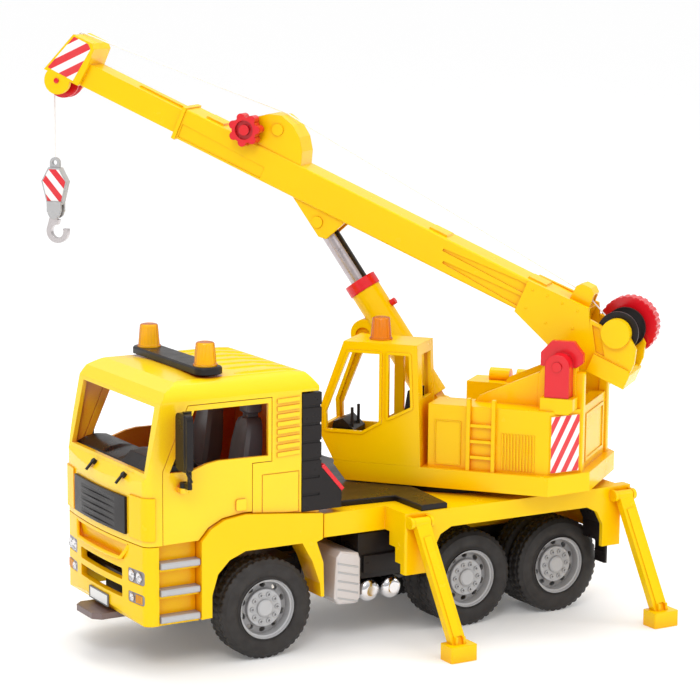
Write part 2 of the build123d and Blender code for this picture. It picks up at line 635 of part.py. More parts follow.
with BuildPart() as grille:
    with BuildSketch(Plane.XY.offset(GRILLE_BOTTOM)):
        with BuildLine():
            back_x = CAB_FRONT_X - 0.1
            edge_x = back_x + NOSE_BOW * GRILLE_HALF**2
            ThreePointArc((edge_x, -GRILLE_HALF), (back_x, 0), (edge_x, GRILLE_HALF))
            Line((edge_x, GRILLE_HALF), (edge_x - 2, GRILLE_HALF))
            ThreePointArc((edge_x - 2, GRILLE_HALF), (back_x - 2, 0), (edge_x - 2, -GRILLE_HALF))
            Line((edge_x - 2, -GRILLE_HALF), (edge_x, -GRILLE_HALF))
        make_face()
    extrude(amount=GRILLE_TOP - GRILLE_BOTTOM)
    with BuildSketch(Plane.YZ.offset(CAB_FRONT_X - 5)):
        for slot_z in (111, 116, 121, 126, 131):
            with Locations((0, slot_z)):
                RectangleRounded(2 * GRILLE_HALF - 8, 3.2, 1)
    extrude(amount=3.9, mode=Mode.SUBTRACT)
pieces["grille"] = grille

with BuildPart() as dashboard:
    with BuildSketch(Plane.XZ):
        outline([(-99, 128), (-99, 139), (-97, 152), (-92, 155.5), (-76, 153), (-68, 146), (-68, 128)])
    extrude(amount=CAB_HALF - WALL - 0.6, both=True)
    with BuildSketch(Plane.XZ.offset(18)):
        outline([(-88, 150), (-84, 161), (-72, 162), (-66, 152), (-66, 140)])
    extrude(amount=30)
    with BuildSketch(Plane.XY.offset(104.4)):
        with Locations((-84, 0)):
            Rectangle(20, 40)
    extrude(until=Until.NEXT)
pieces["dashboard"] = dashboard

WHEEL_CENTRE = (-52.0, -33.0, 157.0)
with BuildPart() as steering_wheel:
    rim_plane = Plane(origin=WHEEL_CENTRE, x_dir=(0, 1, 0), z_dir=(0.7, 0, 0.714))
    with BuildSketch(Plane(origin=WHEEL_CENTRE, x_dir=rim_plane.x_dir, z_dir=rim_plane.y_dir)):
        with Locations((15, 0)):
            Circle(1.9)
    revolve(axis=Axis(WHEEL_CENTRE, rim_plane.z_dir))
    with BuildSketch(rim_plane):
        Circle(4.5)
        with PolarLocations(8, 3, start_angle=90):
            Rectangle(14, 3.2)
    extrude(amount=1.2, both=True)
    with BuildSketch(rim_plane):
        Circle(2.5)
    extrude(amount=-16.5)
pieces["steering_wheel"] = steering_wheel

SEAT_SIDE = [(-38, 116), (-41, 132), (-36, 138), (-8, 135), (0, 176), (3, 197), (11, 198), (15, 180), (8, 128), (2, 116)]
with BuildPart() as cab_seats:
    for seat_y in (-16.0, 50.0):
        with BuildSketch(Plane.XZ.offset(-seat_y)):
            outline(SEAT_SIDE)
        extrude(amount=34)
        with BuildSketch(Plane.XY.offset(104.4)):
            with Locations((-18, seat_y - 17)):
                Rectangle(32, 26)
        extrude(until=Until.NEXT)
pieces["cab_seats"] = cab_seats

BAR_BOTTOM = CAB_ROOF + 0.2
BAR_TOP = BAR_BOTTOM + 5.6
BEACON_X, BEACON_Y = -41.0, 49.0
with BuildPart() as beacon_bar:
    with BuildSketch(Plane.XY.offset(BAR_BOTTOM)):
        with Locations((BEACON_X, 0)):
            RectangleRounded(23, 2 * BEACON_Y + 26, 9)
    extrude(amount=BAR_TOP - BAR_BOTTOM)
    chamfer(beacon_bar.faces().sort_by(Axis.Z)[-1].edges(), 1.2)
pieces["beacon_bar"] = beacon_bar


def beacon(place):
    """Ribbed lens of a flashing lamp, standing on the given plane."""
    with BuildPart() as lens:
        with BuildSketch(place):
            Circle(9.6)
        with BuildSketch(place.offset(15)):
            Circle(8.0)
        loft()
        with BuildSketch(place.offset(15)):
            Circle(8.0)
        with BuildSketch(place.offset(18.5)):
            Circle(5.8)
        loft()
    return lens


with BuildPart() as cab_beacons:
    for beacon_y in (-BEACON_Y, BEACON_Y):
        add(beacon(Plane(origin=(BEACON_X, beacon_y, BAR_TOP))).part)
pieces["cab_beacons"] = cab_beacons

INTAKE_BOTTOM, INTAKE_TOP = 114.0, 207.8
with BuildPart() as air_intakes:
    with BuildSketch(Plane.XY.offset(INTAKE_BOTTOM)):
        with Locations((39.4, -69)):
            Rectangle(17.2, 9)
    extrude(amount=INTAKE_TOP - INTAKE_BOTTOM)
    for groove_z in range(126, 205, 14):
        with BuildSketch(Plane.XY.offset(groove_z)):
            with Locations((48, -69), (39, -73.5)):
                Rectangle(18, 1.6)
            with Locations((48, -69)):
                Rectangle(1.6, 10)
        extrude(amount=2, mode=Mode.SUBTRACT)
    with BuildSketch(Plane.XZ.offset(73.5)):
        outline([(46.4, INTAKE_BOTTOM), (46.4, 150), (66.4, 127), (66.4, INTAKE_BOTTOM)])
    extrude(amount=-18)
    mirror(about=Plane.XZ)
pieces["air_intakes"] = air_intakes

with BuildPart() as cab_lock_lever:
    with BuildSketch(Plane.XZ.offset(73.5)):
        outline([(48.2, 148.2), (66.6, 127.1), (69, 129.2), (50.4, 150.6)])
    extrude(amount=-8)
pieces["cab_lock_lever"] = cab_lock_lever

with BuildPart() as wipers:
    for wiper_y in (-40.0, 14.0):
        cowl = Plane(origin=(-105, wiper_y, 150.85), x_dir=(0, 1, 0), z_dir=(-0.731, 0, 0.682))
        with BuildSketch(cowl):
            Circle(2.2)
        extrude(amount=3)
        with BuildSketch(cowl.offset(1.6)):
            with Locations((0, 4)):
                Rectangle(2.4, 10)
        extrude(amount=1.4)
pieces["wipers"] = wipers

# ---------------------------------------------------------------- doors and mirrors
DOOR_FRONT_X = -89.1
MIRROR_AXIS = (-74.0, -78.5)      # upright hinge of the left mirror
MIRROR_FOOT_Z = 146.0

with BuildPart() as door_left:
    lower_edge = [(x - 1, z + 1) for x, z in FENDER_TOP[:4]]
    with BuildSketch(Plane.XZ.offset(CAB_HALF)):
        outline([(DOOR_FRONT_X, CAB_BOTTOM + 0.2), (DOOR_FRONT_X, 158.3), (-67.8, 207), (4, 207), (4, 157.5),
                 (-13, 157.5), (-13, 119.4), *reversed(lower_edge)])
        outline([(-83.5, 157), (-62.5, 203), (1, 203), (1, 162), (-42, 162.5), (-52, 161), (-66, 156.5)], Mode.SUBTRACT)
    extrude(amount=-WALL)
    with BuildSketch(Plane.XZ.offset(CAB_HALF)):
        with Locations((-23, 126)):
            RectangleRounded(9, 9, 1.5)
    extrude(amount=1.6)
    # knuckle and pin of the mirror
    with BuildSketch(Plane.XY.offset(MIRROR_FOOT_Z)):
        with Locations(MIRROR_AXIS):
            Circle(3.5)
        with Locations((MIRROR_AXIS[0], -75)):
            Rectangle(7, 5)
    extrude(amount=-4)
    with BuildSketch(Plane.XY.offset(MIRROR_FOOT_Z)):
        with Locations(MIRROR_AXIS):
            Circle(1.4)
    extrude(amount=3.5)
pieces["door_left"] = door_left

with BuildPart() as mirror_left:
    with BuildSketch(Plane.XY.offset(MIRROR_FOOT_Z + 0.2)):
        with Locations(MIRROR_AXIS):
            Circle(3.5)
        with Locations((MIRROR_AXIS[0], MIRROR_AXIS[1] - 5)):
            Rectangle(3.4, 10)
        with Locations(MIRROR_AXIS):
            Circle(1.4 + RUNNING, mode=Mode.SUBTRACT)
    extrude(amount=4)
    with BuildSketch(Plane.XY.offset(MIRROR_FOOT_Z + 0.2)):
        with Locations((MIRROR_AXIS[0], MIRROR_AXIS[1] - 9)):
            Circle(1.7)
    extrude(amount=60)
    with BuildSketch(Plane.YZ.offset(MIRROR_AXIS[0] - 7)):
        with Locations((MIRROR_AXIS[1] - 9, 183)):
            RectangleRounded(19, 44, 5)
    extrude(amount=5.5)
    with BuildSketch(Plane.XY.offset(203.5)):
        with Locations((MIRROR_AXIS[0] - 2, MIRROR_AXIS[1] - 9)):
            Rectangle(6, 3.4)
    extrude(amount=2.7)
pieces["mirror_left"] = mirror_left

with BuildPart() as door_right:
    mirror(door_left.part, about=Plane.XZ)
pieces["door_right"] = door_right

with BuildPart() as mirror_right:
    mirror(mirror_left.part, about=Plane.XZ)
pieces["mirror_right"] = mirror_right

# ---------------------------------------------------------------- outriggers
LEG_DROP = Vector(FOOT_SHIFT, LEG_HINGE_Y - FOOT_Y, 8 - LEG_HINGE_Z)


def left_leg(leg_x):
    """Hinge barrel, sloping bar and flat foot of one outrigger on the left side."""
    hinge = Vector(leg_x, -LEG_HINGE_Y, LEG_HINGE_Z)
    bar_plane = Plane(origin=hinge, x_dir=(1, 0, LEG_DROP.X / -LEG_DROP.Z), z_dir=LEG_DROP.normalized())
    with BuildPart() as leg:
        with BuildSketch(Plane.YZ.offset(leg_x - 7.2)):
            with Locations((-LEG_HINGE_Y, LEG_HINGE_Z)):
                Circle(4.2)
        extrude(amount=14.4)
        with BuildSketch(bar_plane):
            Rectangle(13, 7)
        extrude(amount=LEG_DROP.length)
        with BuildSketch(bar_plane.offset(12)):
            with Locations((0, 0)):
                Rectangle(7, 9)
        extrude(amount=LEG_DROP.length - 22)
        with BuildSketch(Plane.XY):
            with Locations((leg_x + FOOT_SHIFT, -FOOT_Y)):
                RectangleRounded(24, 17, 1.5)
        extrude(amount=13)
        with BuildSketch(Plane.XY.offset(13)):
            with Locations((leg_x + FOOT_SHIFT - 4, -FOOT_Y + 2), (leg_x + FOOT_SHIFT + 3, -FOOT_Y + 2)):
                Rectangle(2, 11)
        extrude(amount=6)
        # stub pins that snap into the ears
        with BuildSketch(Plane.YZ.offset(leg_x - 10.5)):
            with Locations((-LEG_HINGE_Y, LEG_HINGE_Z)):
                Circle(LEG_PIN_RADIUS)
        extrude(amount=21)
    return leg


for leg_x, place in zip(LEG_X, ("front", "rear")):
    pieces[f"outrigger_{place}_left"] = left_leg(leg_x)
    with BuildPart() as right_leg:
        mirror(left_leg(leg_x).part, about=Plane.XZ)
    pieces[f"outrigger_{place}_right"] = right_leg

# ---------------------------------------------------------------- crane house
BASE_PLAN = [(-79, -77), (103, -77), (129, -43), (129, 43), (103, 77), (-79, 77)]
HOUSE_REAR_X, HOUSE_CORNER_X = 121.0, 101.0
HOUSE_PLAN = [(0, -70), (HOUSE_CORNER_X, -70), (HOUSE_REAR_X, -46), (HOUSE_REAR_X, 46), (HOUSE_CORNER_X, 70), (0, 70)]
HOUSE_CHANNEL = 38.0      # half width of the open channel between the side boxes
POST_INNER, POST_OUTER = 40.0, 50.0

with BuildPart() as crane_house:
    with BuildSketch(crane_top(BASE_BOTTOM)):
        outline(BASE_PLAN)
    extrude(amount=BASE_TOP - BASE_BOTTOM)
    with BuildSketch(crane_side(0)):
        outline([(-80, BASE_BOTTOM - 1), (-80, BASE_TOP - 2), (-68, BASE_BOTTOM - 1)])
    extrude(amount=90, both=True, mode=Mode.SUBTRACT)
    # hollow underside around the spigot
    with BuildSketch(crane_top(BASE_BOTTOM)):
        outline([(-62, -73), (101, -73), (125, -41), (125, 41), (101, 73), (-62, 73)])
        Circle(SPIGOT_RADIUS + 4, mode=Mode.SUBTRACT)
    extrude(amount=12, mode=Mode.SUBTRACT)
    with BuildSketch(crane_top(104.8)):
        Circle(SPIGOT_RADIUS)
    extrude(amount=12)
    # side boxes and rear wall
    with BuildSketch(crane_top(BASE_TOP)):
        outline(HOUSE_PLAN)
        with Locations((54, 0)):
            Rectangle(110, 2 * HOUSE_CHANNEL, mode=Mode.SUBTRACT)
    extrude(amount=WALL_TOP - BASE_TOP)
    with BuildSketch(crane_top(BASE_BOTTOM + 10)):
        outline([(3, -67), (88, -67), (84, -53), (84, -HOUSE_CHANNEL - 3), (3, -HOUSE_CHANNEL - 3)])
        mirror(about=Plane.XZ)
    extrude(amount=WALL_TOP - WALL - BASE_BOTTOM - 10, mode=Mode.SUBTRACT)
    # posts that carry the boom pivot, with the beams that brace them
    for side in (-1, 1):
        low, high = sorted((side * POST_INNER, side * POST_OUTER))
        with BuildSketch(crane_side(high)):
            outline([(86, BASE_TOP), (86, 209), (90, 216.8), (117, 216.8), (117, BASE_TOP)])
        extrude(amount=high - low)
        with BuildSketch(crane_side(high - 3)):
            outline([(32, WALL_TOP), (36, 188), (86, 211), (86, WALL_TOP)])
        extrude(amount=4)
        # ledge under the pivot bracket
        low, high = sorted((side * POST_OUTER, side * 66))
        with BuildSketch(crane_side(high)):
            outline([(92, 181), (92, 193.6), (119, 193.6), (119, 184), (115, 181)])
        extrude(amount=high - low)
    # ladder on the left wall
    for rail_x in (35.0, 56.0):
        with BuildSketch(crane_side(-69.5)):
            outline([(rail_x - 1.6, BASE_TOP), (rail_x - 1.6, 190), (rail_x + 1.6, 190), (rail_x + 1.6, BASE_TOP)])
        extrude(amount=5)
    for rung_z in (142.0, 155.0, 168.0):
        with BuildSketch(crane_side(-69.5)):
            with Locations((45.5, rung_z)):
                Rectangle(20, 2.6)
        extrude(amount=4)
    # service door and louvre panel
    with BuildSketch(crane_side(-69.9)):
        with Locations((17, 152)):
            RectangleRounded(22, 37, 1)
            RectangleRounded(20.4, 35.4, 1, mode=Mode.SUBTRACT)
    extrude(amount=0.9)
    with BuildSketch(crane_side(-69.9)):
        with Locations((76, 148)):
            with GridLocations(2.6, 0, 11, 1):
                Rectangle(1.2, 30)
    extrude(amount=0.9)
    # two ears and the pin for the foot of the lift cylinder
    for ear_y in (-9.4, 14.4):
        with BuildSketch(crane_side(ear_y)):
            outline([(-25, BASE_TOP), (-20, 168), (-4, 168), (1, BASE_TOP)])
            with Locations(CYLINDER_FOOT):
                Circle(8)
        extrude(amount=5)
    with BuildSketch(crane_side(15)):
        with Locations(CYLINDER_FOOT):
            Circle(FOOT_PIN_RADIUS)
    extrude(amount=30)
    # tanks and box on the right side box
    for drum_x in (26.0, 50.0):
        with BuildSketch(crane_rear(drum_x - 10)):
            with Locations((56, WALL_TOP + 4)):
                Circle(6)
        extrude(amount=18)
    # raised plates on the chamfered rear corners, for the warning stripes
    for side in (-1, 1):
        corner_run = (BACK * (HOUSE_REAR_X - HOUSE_CORNER_X) + RIGHT * (-side * 24)).normalized()
        facing = corner_run.cross(UP) * -side
        corner = SLEW + BACK * HOUSE_CORNER_X + RIGHT * (side * 70) + UP * 156
        with BuildSketch(Plane(origin=corner - facing * 0.5, x_dir=corner_run, z_dir=facing)):
            with Locations((15.6, 0)):
                Rectangle(28.6, 47)
        extrude(amount=1.5)
    # uprights at both ends of the rear wall and a raised panel between them
    with BuildSketch(crane_top(BASE_TOP)):
        for upright_y in (-42.0, 42.0):
            with Locations((HOUSE_REAR_X - 2, upright_y)):
                RectangleRounded(8, 8, 1.5)
    extrude(amount=212 - BASE_TOP)
    with BuildSketch(crane_rear(HOUSE_REAR_X - 0.5)):
        with Locations((0, 156)):
            Rectangle(60, 40)
            Rectangle(54, 34, mode=Mode.SUBTRACT)
    extrude(amount=1.5)
pieces["crane_house"] = crane_house

with BuildPart() as slew_retainer:
    with BuildSketch(crane_top(104.8)):
        Circle(SPIGOT_RADIUS + 4)
    extrude(amount=-5)
    chamfer(slew_retainer.edges().group_by(Axis.Z)[0], 1)
pieces["slew_retainer"] = slew_retainer

PIVOT = (PIVOT_BACK, PIVOT_Z)
with BuildPart() as pivot_brackets:
    for side in (-1, 1):
        low, high = sorted((side * (POST_OUTER + 0.1), side * 64))
        with BuildSketch(crane_side(high)):
            with Locations((PIVOT_BACK, (193.7 + 219) / 2)):
                Rectangle(20, 219 - 193.7)
            with Locations((PIVOT_BACK, 219)):
                Circle(10)
        extrude(amount=high - low)
        low, high = sorted((side * 45, side * (POST_OUTER + 1)))
        with BuildSketch(crane_side(high)):
            outline([(88, 217), (88, 228), (97, 238), (115, 238), (123, 228), (123, 221), (118, 217)])
        extrude(amount=high - low)
        with BuildSketch(crane_side(side * 65 + 1)):
            with Locations((PIVOT_BACK, 219)):
                Circle(4)
        extrude(amount=2)
    with BuildSketch(crane_side(56)):
        with Locations(PIVOT):
            Circle(PIVOT_PIN_RADIUS)
    extrude(amount=112, mode=Mode.SUBTRACT)
pieces["pivot_brackets"] = pivot_brackets

with BuildPart() as boom_pivot_pin:
    with BuildSketch(crane_side(56)):
        with Locations(PIVOT):
            Circle(PIVOT_PIN_RADIUS)
    extrude(amount=112)
pieces["boom_pivot_pin"] = boom_pivot_pin

# ---------------------------------------------------------------- crane cab
CRANE_CAB_SIDE = [(-79, BASE_TOP), (-89.5, 150), (-91, 175), (-71, 231), (-8, 231), (-4, BASE_TOP)]
CRANE_CAB_ROOM = [(-76, 134), (-86, 151), (-87.6, 175), (-69, 228), (-11, 228), (-7.2, 134)]
FRONT_PANE = [(-66, 222), (-40, 222), (-40, 166), (-55, 157), (-85, 157), (-85.5, 172)]
REAR_PANE = [(-32, 222), (-15, 222), (-13, 180), (-32, 170)]
CAB_NEAR, CAB_FAR = -77.0, -35.0

with BuildPart() as crane_cab_shell:
    with BuildSketch(crane_side(CAB_FAR)):
        outline(CRANE_CAB_SIDE)
    extrude(amount=CAB_FAR - CAB_NEAR)
    with BuildSketch(crane_side(CAB_FAR - WALL)):
        outline(CRANE_CAB_ROOM)
    extrude(amount=CAB_FAR - CAB_NEAR - 2 * WALL, mode=Mode.SUBTRACT)
    for face_y, lift in ((CAB_NEAR + 0.2, 1.2), (CAB_FAR - 0.2, -1.2)):
        with BuildSketch(crane_side(face_y)):
            outline(FRONT_PANE)
            outline(REAR_PANE)
            offset(amount=2.4)
        extrude(amount=lift)
    with BuildSketch(crane_side(CAB_FAR + 5)):
        outline(FRONT_PANE)
        outline(REAR_PANE)
    extrude(amount=CAB_FAR - CAB_NEAR + 10, mode=Mode.SUBTRACT)
    with BuildSketch(crane_rear(-100)):
        outline([(-72, 160), (-72, 222), (-40, 222), (-40, 160)])
    extrude(amount=32, mode=Mode.SUBTRACT)
    with BuildSketch(crane_rear(-14)):
        outline([(-66, 186), (-66, 222), (-42, 222), (-42, 186)])
    extrude(amount=20, mode=Mode.SUBTRACT)
pieces["crane_cab_shell"] = crane_cab_shell

with BuildPart() as crane_cab_fittings:
    with BuildSketch(crane_side(-42)):
        outline([(-74, 134.2), (-84, 151), (-82, 162), (-74, 165), (-64, 156), (-63, 134.2)])
    extrude(amount=28)
    with BuildSketch(crane_top(150)):
        with Locations((-67, -66), (-67, -50)):
            Circle(1.3)
    extrude(amount=24)
    with BuildSketch(crane_side(-42)):
        outline([(-42, 146), (-42, 155), (-24, 155), (-18, 192), (-12.5, 192), (-12.5, 165), (-14, 134.2),
                 (-34, 134.2)])
    extrude(amount=28)
    with BuildSketch(crane_top(134.2)):
        with Locations((-46, -56)):
            Rectangle(60, 20)
    extrude(amount=2)
pieces["crane_cab_fittings"] = crane_cab_fittings

pieces["crane_beacon"] = beacon(crane_top(231.1).shift_origin(SLEW + BACK * -46 + RIGHT * -56 + UP * 231.1))

# ---------------------------------------------------------------- outer boom
SLIDING = 0.08            # gap between inner and outer boom on every side
PLATE_INNER, PLATE_OUTER = 15.0, 19.0
RACK_HALF, RACK_TOP = 3.0, 37.4
DRUM_SHAFT_RADIUS = 3.0
KNOB_SHAFT_RADIUS = 3.0

with BuildPart() as outer_boom:
    with BuildSketch(boom_side(-BOOM_HALF)):
        outline([(3, BOOM_LOW), (3, BOOM_HIGH), (BOOM_FRONT, BOOM_HIGH), (BOOM_FRONT, BOOM_LOW)])
    extrude(amount=2 * BOOM_HALF)
    chamfer(outer_boom.edges().filter_by(GeomType.LINE).filter_by(lambda e: e.length > 300), 1)
    # collar round the open front
    with BuildSketch(boom_across(BOOM_FRONT)):
        with Locations((0, (BOOM_LOW + BOOM_HIGH) / 2)):
            Rectangle(2 * BOOM_HALF + 3, BOOM_HIGH - BOOM_LOW + 2.4)
    extrude(amount=-3.5)
    # rear plates: sleeve, pivot lug and winch cheek on each side
    for low in (-PLATE_OUTER, PLATE_INNER):
        with BuildSketch(boom_side(low)):
            outline([(57.5, 39.5), (2.7, 41), (-22, -4), (-9, -8), (17, -3), (57.6, 11)])
            Circle(12)
            outline([(-50, 4), (-50, 16), (-46.5, 27.7), (-38.2, 34), (-14.6, 32.5), (-2, 33), (-20, -2)])
            with Locations(WINCH_AXLE):
                Circle(12)
        extrude(amount=PLATE_OUTER - PLATE_INNER)
    with BuildSketch(boom_side(-22)):
        outline([(-51, -6), (-51, 7), (-48, 9.5), (-17, 9.5), (-17, -6)])
    extrude(amount=44)
    with BuildSketch(boom_side(-23.5)):
        with Locations(WINCH_AXLE):
            Circle(12)
    extrude(amount=5)
    # sunk triangle between the pivot lug and the winch bearing
    for low in (-PLATE_OUTER, PLATE_OUTER - 2):
        with BuildSketch(boom_side(low)):
            outline([(-5.5, 30), (-12, 30), (-25.5, 11), (-17.5, 11)])
            with Locations(WINCH_AXLE):
                Circle(13, mode=Mode.SUBTRACT)
        extrude(amount=2, mode=Mode.SUBTRACT)
    # bosses that keep the boom centred between the posts
    for low, high in ((-39.6, -PLATE_INNER), (PLATE_INNER, 39.6)):
        with BuildSketch(boom_side(low)):
            Circle(7)
        extrude(amount=high - low)
    # rope guide, raised bosses and extension housing on the top
    with BuildSketch(boom_side(-9)):
        outline([(4, 38), (5, 51), (9, 54.5), (17, 54.5), (21, 51), (22, 38)])
    extrude(amount=18)
    with BuildSketch(boom_across(0)):
        with Locations((0, 45.5)):
            RectangleRounded(11, 9, 3)
    extrude(amount=30, mode=Mode.SUBTRACT)
    for boss_s in (52.0, 145.0, 362.0):
        with BuildSketch(boom_side(-9)):
            outline([(boss_s - 9, 38), (boss_s - 8, 40.6), (boss_s + 8, 40.6), (boss_s + 9, 38)])
        extrude(amount=18)
    with BuildSketch(boom_side(-13)):
        outline([(275, 38), (279, 50), (286, 60), (296, 67), (308, 70), (319, 66.5), (329, 59), (338, 50), (340, 38)])
    extrude(amount=26)
    with BuildSketch(boom_side(-15)):
        with Locations((306, 58)):
            Circle(5)
    extrude(amount=30)
    # sunk panels in both sides
    for low in (-BOOM_HALF, BOOM_HALF - 1.4):
        with BuildSketch(boom_side(low)):
            outline([(57, 27), (57, 35), (66, 35), (134, 30.5), (134, 28.5)])
            outline([(57, 15), (57, 24), (130, 21), (130, 19)])
        extrude(amount=1.4, mode=Mode.SUBTRACT)
    for low in (-BOOM_HALF, BOOM_HALF - 0.8):
        with BuildSketch(boom_side(low)):
            outline([(304, 14), (304, 24), (BOOM_FRONT - 5, 26), (BOOM_FRONT - 5, 14)])
        extrude(amount=0.8, mode=Mode.SUBTRACT)
    # clevis for the lift cylinder
    for low in (-11.5, 8.0):
        with BuildSketch(boom_side(low)):
            outline([(274, BOOM_LOW + 0.5), (238, -9.5), (231, -8.5), (221, BOOM_LOW + 0.5)])
        extrude(amount=3.5)
    with BuildSketch(boom_side(-13)):
        with Locations(CLEVIS_PIN):
            Circle(5)
            Circle(CLEVIS_PIN_RADIUS, mode=Mode.SUBTRACT)
    extrude(amount=2)
    with BuildSketch(boom_side(11)):
        with Locations(CLEVIS_PIN):
            Circle(5)
    extrude(amount=2)
    with BuildSketch(boom_side(-13)):
        with Locations(CLEVIS_PIN):
            Circle(CLEVIS_PIN_RADIUS)
    extrude(amount=26)
    with BuildSketch(boom_side(-7.9)):
        with Locations((CLEVIS_PIN[0] - 1, BOOM_LOW)):
            Rectangle(24, 3)
    extrude(amount=15.8, mode=Mode.SUBTRACT)
    # channel for the inner boom, with a groove for its rack
    with BuildSketch(boom_across(20)):
        with Locations((0, (INNER_LOW + INNER_HIGH) / 2)):
            Rectangle(2 * (INNER_HALF + SLIDING), INNER_HIGH - INNER_LOW + 2 * SLIDING)
        with Locations((0, INNER_HIGH)):
            Rectangle(2 * (RACK_HALF + SLIDING), 2 * (RACK_TOP - INNER_HIGH + SLIDING))
    extrude(amount=BOOM_FRONT, mode=Mode.SUBTRACT)
    # shaft holes
    with BuildSketch(boom_side(-40)):
        Circle(PIVOT_PIN_RADIUS + RUNNING)
    extrude(amount=80, mode=Mode.SUBTRACT)
    with BuildSketch(boom_side(-PLATE_OUTER)):
        with Locations(WINCH_AXLE):
            Circle(DRUM_SHAFT_RADIUS + RUNNING)
    extrude(amount=40, mode=Mode.SUBTRACT)
    with BuildSketch(boom_side(-14)):
        with Locations(KNOB_AXLE):
            Circle(KNOB_SHAFT_RADIUS + RUNNING)
    extrude(amount=12, mode=Mode.SUBTRACT)
pieces["outer_boom"] = outer_boom

with BuildPart() as extension_knob:
    with BuildSketch(boom_side(-28)):
        with Locations(KNOB_AXLE):
            Circle(11)
            with PolarLocations(10.6, 7):
                Circle(3.6)
    extrude(amount=11)
    with BuildSketch(boom_side(-28)):
        with Locations(KNOB_AXLE):
            Circle(8)
            Circle(4.5, mode=Mode.SUBTRACT)
    extrude(amount=3, mode=Mode.SUBTRACT)
    with BuildSketch(boom_side(-28)):
        with Locations(KNOB_AXLE):
            Circle(KNOB_SHAFT_RADIUS)
    extrude(amount=25.5)
pieces["extension_knob"] = extension_knob

DRUM_HALF = 14.5
with BuildPart() as winch_drum:
    for low, high, radius in (
        (-DRUM_HALF, -DRUM_HALF + 2.5, 17),
        (DRUM_HALF - 2.5, DRUM_HALF, 17),
        (-DRUM_HALF, DRUM_HALF, 8.9),
        (-PLATE_OUTER + 0.3, 33, DRUM_SHAFT_RADIUS),
    ):
        with BuildSketch(boom_side(low)):
            with Locations(WINCH_AXLE):
                Circle(radius)
        extrude(amount=high - low)
pieces["winch_drum"] = winch_drum

with BuildPart() as winch_wheel:
    with BuildSketch(boom_side(22.5)):
        with Locations(WINCH_AXLE):
            Circle(24.5)
            with PolarLocations(25.6, 28):
                Circle(1.9, mode=Mode.SUBTRACT)
    extrude(amount=13.5)
    with BuildSketch(boom_side(25)):
        with Locations(WINCH_AXLE):
            Circle(20)
            Circle(6, mode=Mode.SUBTRACT)
    extrude(amount=13, mode=Mode.SUBTRACT)
    with BuildSketch(boom_side(25)):
        with Locations(WINCH_AXLE):
            with PolarLocations(13, 3):
                Rectangle(16, 3)
    extrude(amount=8)
    with BuildSketch(boom_side(22)):
        with Locations(WINCH_AXLE):
            Circle(DRUM_SHAFT_RADIUS)
    extrude(amount=11, mode=Mode.SUBTRACT)
pieces["winch_wheel"] = winch_wheel

# ---------------------------------------------------------------- inner boom and its head
SHEAVE_PIN_RADIUS = 2.0
SHEAVE_GROOVE = 10.0      # radius at the bottom of the rope groove
ROPE_RADIUS = 0.6

with BuildPart() as inner_boom:
    with BuildSketch(boom_across(INNER_REAR)):
        with Locations((0, (INNER_LOW + INNER_HIGH) / 2)):
            Rectangle(2 * INNER_HALF, INNER_HIGH - INNER_LOW)
            Rectangle(2 * INNER_HALF - 5, INNER_HIGH - INNER_LOW - 5, mode=Mode.SUBTRACT)
    extrude(amount=INNER_FRONT - INNER_REAR)
    with BuildSketch(boom_side(-RACK_HALF)):
        outline([(INNER_REAR + 4, 34), (INNER_REAR + 4, RACK_TOP), (438, RACK_TOP), (440, INNER_HIGH), (440, 34)])
    extrude(amount=2 * RACK_HALF)
    # head: two cheeks joined by a rear wall and a top
    for low in (-17.0, 13.0):
        with BuildSketch(boom_side(low)):
            outline([(489, 54), (507.7, 54), (522, 15), (490.7, 15.2), (485, 50)])
            with Locations(HEAD_AXLE):
                Circle(12)
        extrude(amount=4)
    with BuildSketch(boom_side(-17)):
        outline([(485, 32), (485, 50), (489, 54), (507, 54), (506, 51), (490, 51), (488, 48), (490.6, 15.2),
                 (487, 15.2)])
    extrude(amount=34)
    with BuildSketch(boom_side(-18)):
        with Locations(HEAD_AXLE):
            Circle(SHEAVE_PIN_RADIUS)
    extrude(amount=36)
pieces["inner_boom"] = inner_boom

with BuildPart() as head_sheave:
    with BuildSketch(Plane(origin=boom_point(*HEAD_AXLE), x_dir=RIGHT, z_dir=-BOOM_DIR)):
        bore = SHEAVE_PIN_RADIUS + RUNNING
        outline([(-5, bore), (-5, 15.5), (-3, 15.5), (-1.2, SHEAVE_GROOVE), (1.2, SHEAVE_GROOVE), (3, 15.5),
                 (5, 15.5), (5, bore)])
    revolve(axis=Axis(boom_point(*HEAD_AXLE), RIGHT))
pieces["head_sheave"] = head_sheave

HEAD = boom_point(*HEAD_AXLE)
ROPE_X = (HEAD - SLEW).dot(BACK) - SHEAVE_GROOVE - ROPE_RADIUS - 0.1
EYE_TOP = 363.0
HOIST_UP = 45.0           # the hook block rises this far above its rest height

with BuildPart() as hoist_rope:
    with BuildSketch(Plane(origin=SLEW + BACK * ROPE_X + UP * HEAD.Z, x_dir=BACK, z_dir=UP)):
        Circle(ROPE_RADIUS)
    extrude(amount=-(HEAD.Z - EYE_TOP - HOIST_UP - 1))
pieces["hoist_rope"] = hoist_rope

# ---------------------------------------------------------------- hook block and hook
HOOK_RIVET_Z = 315.0

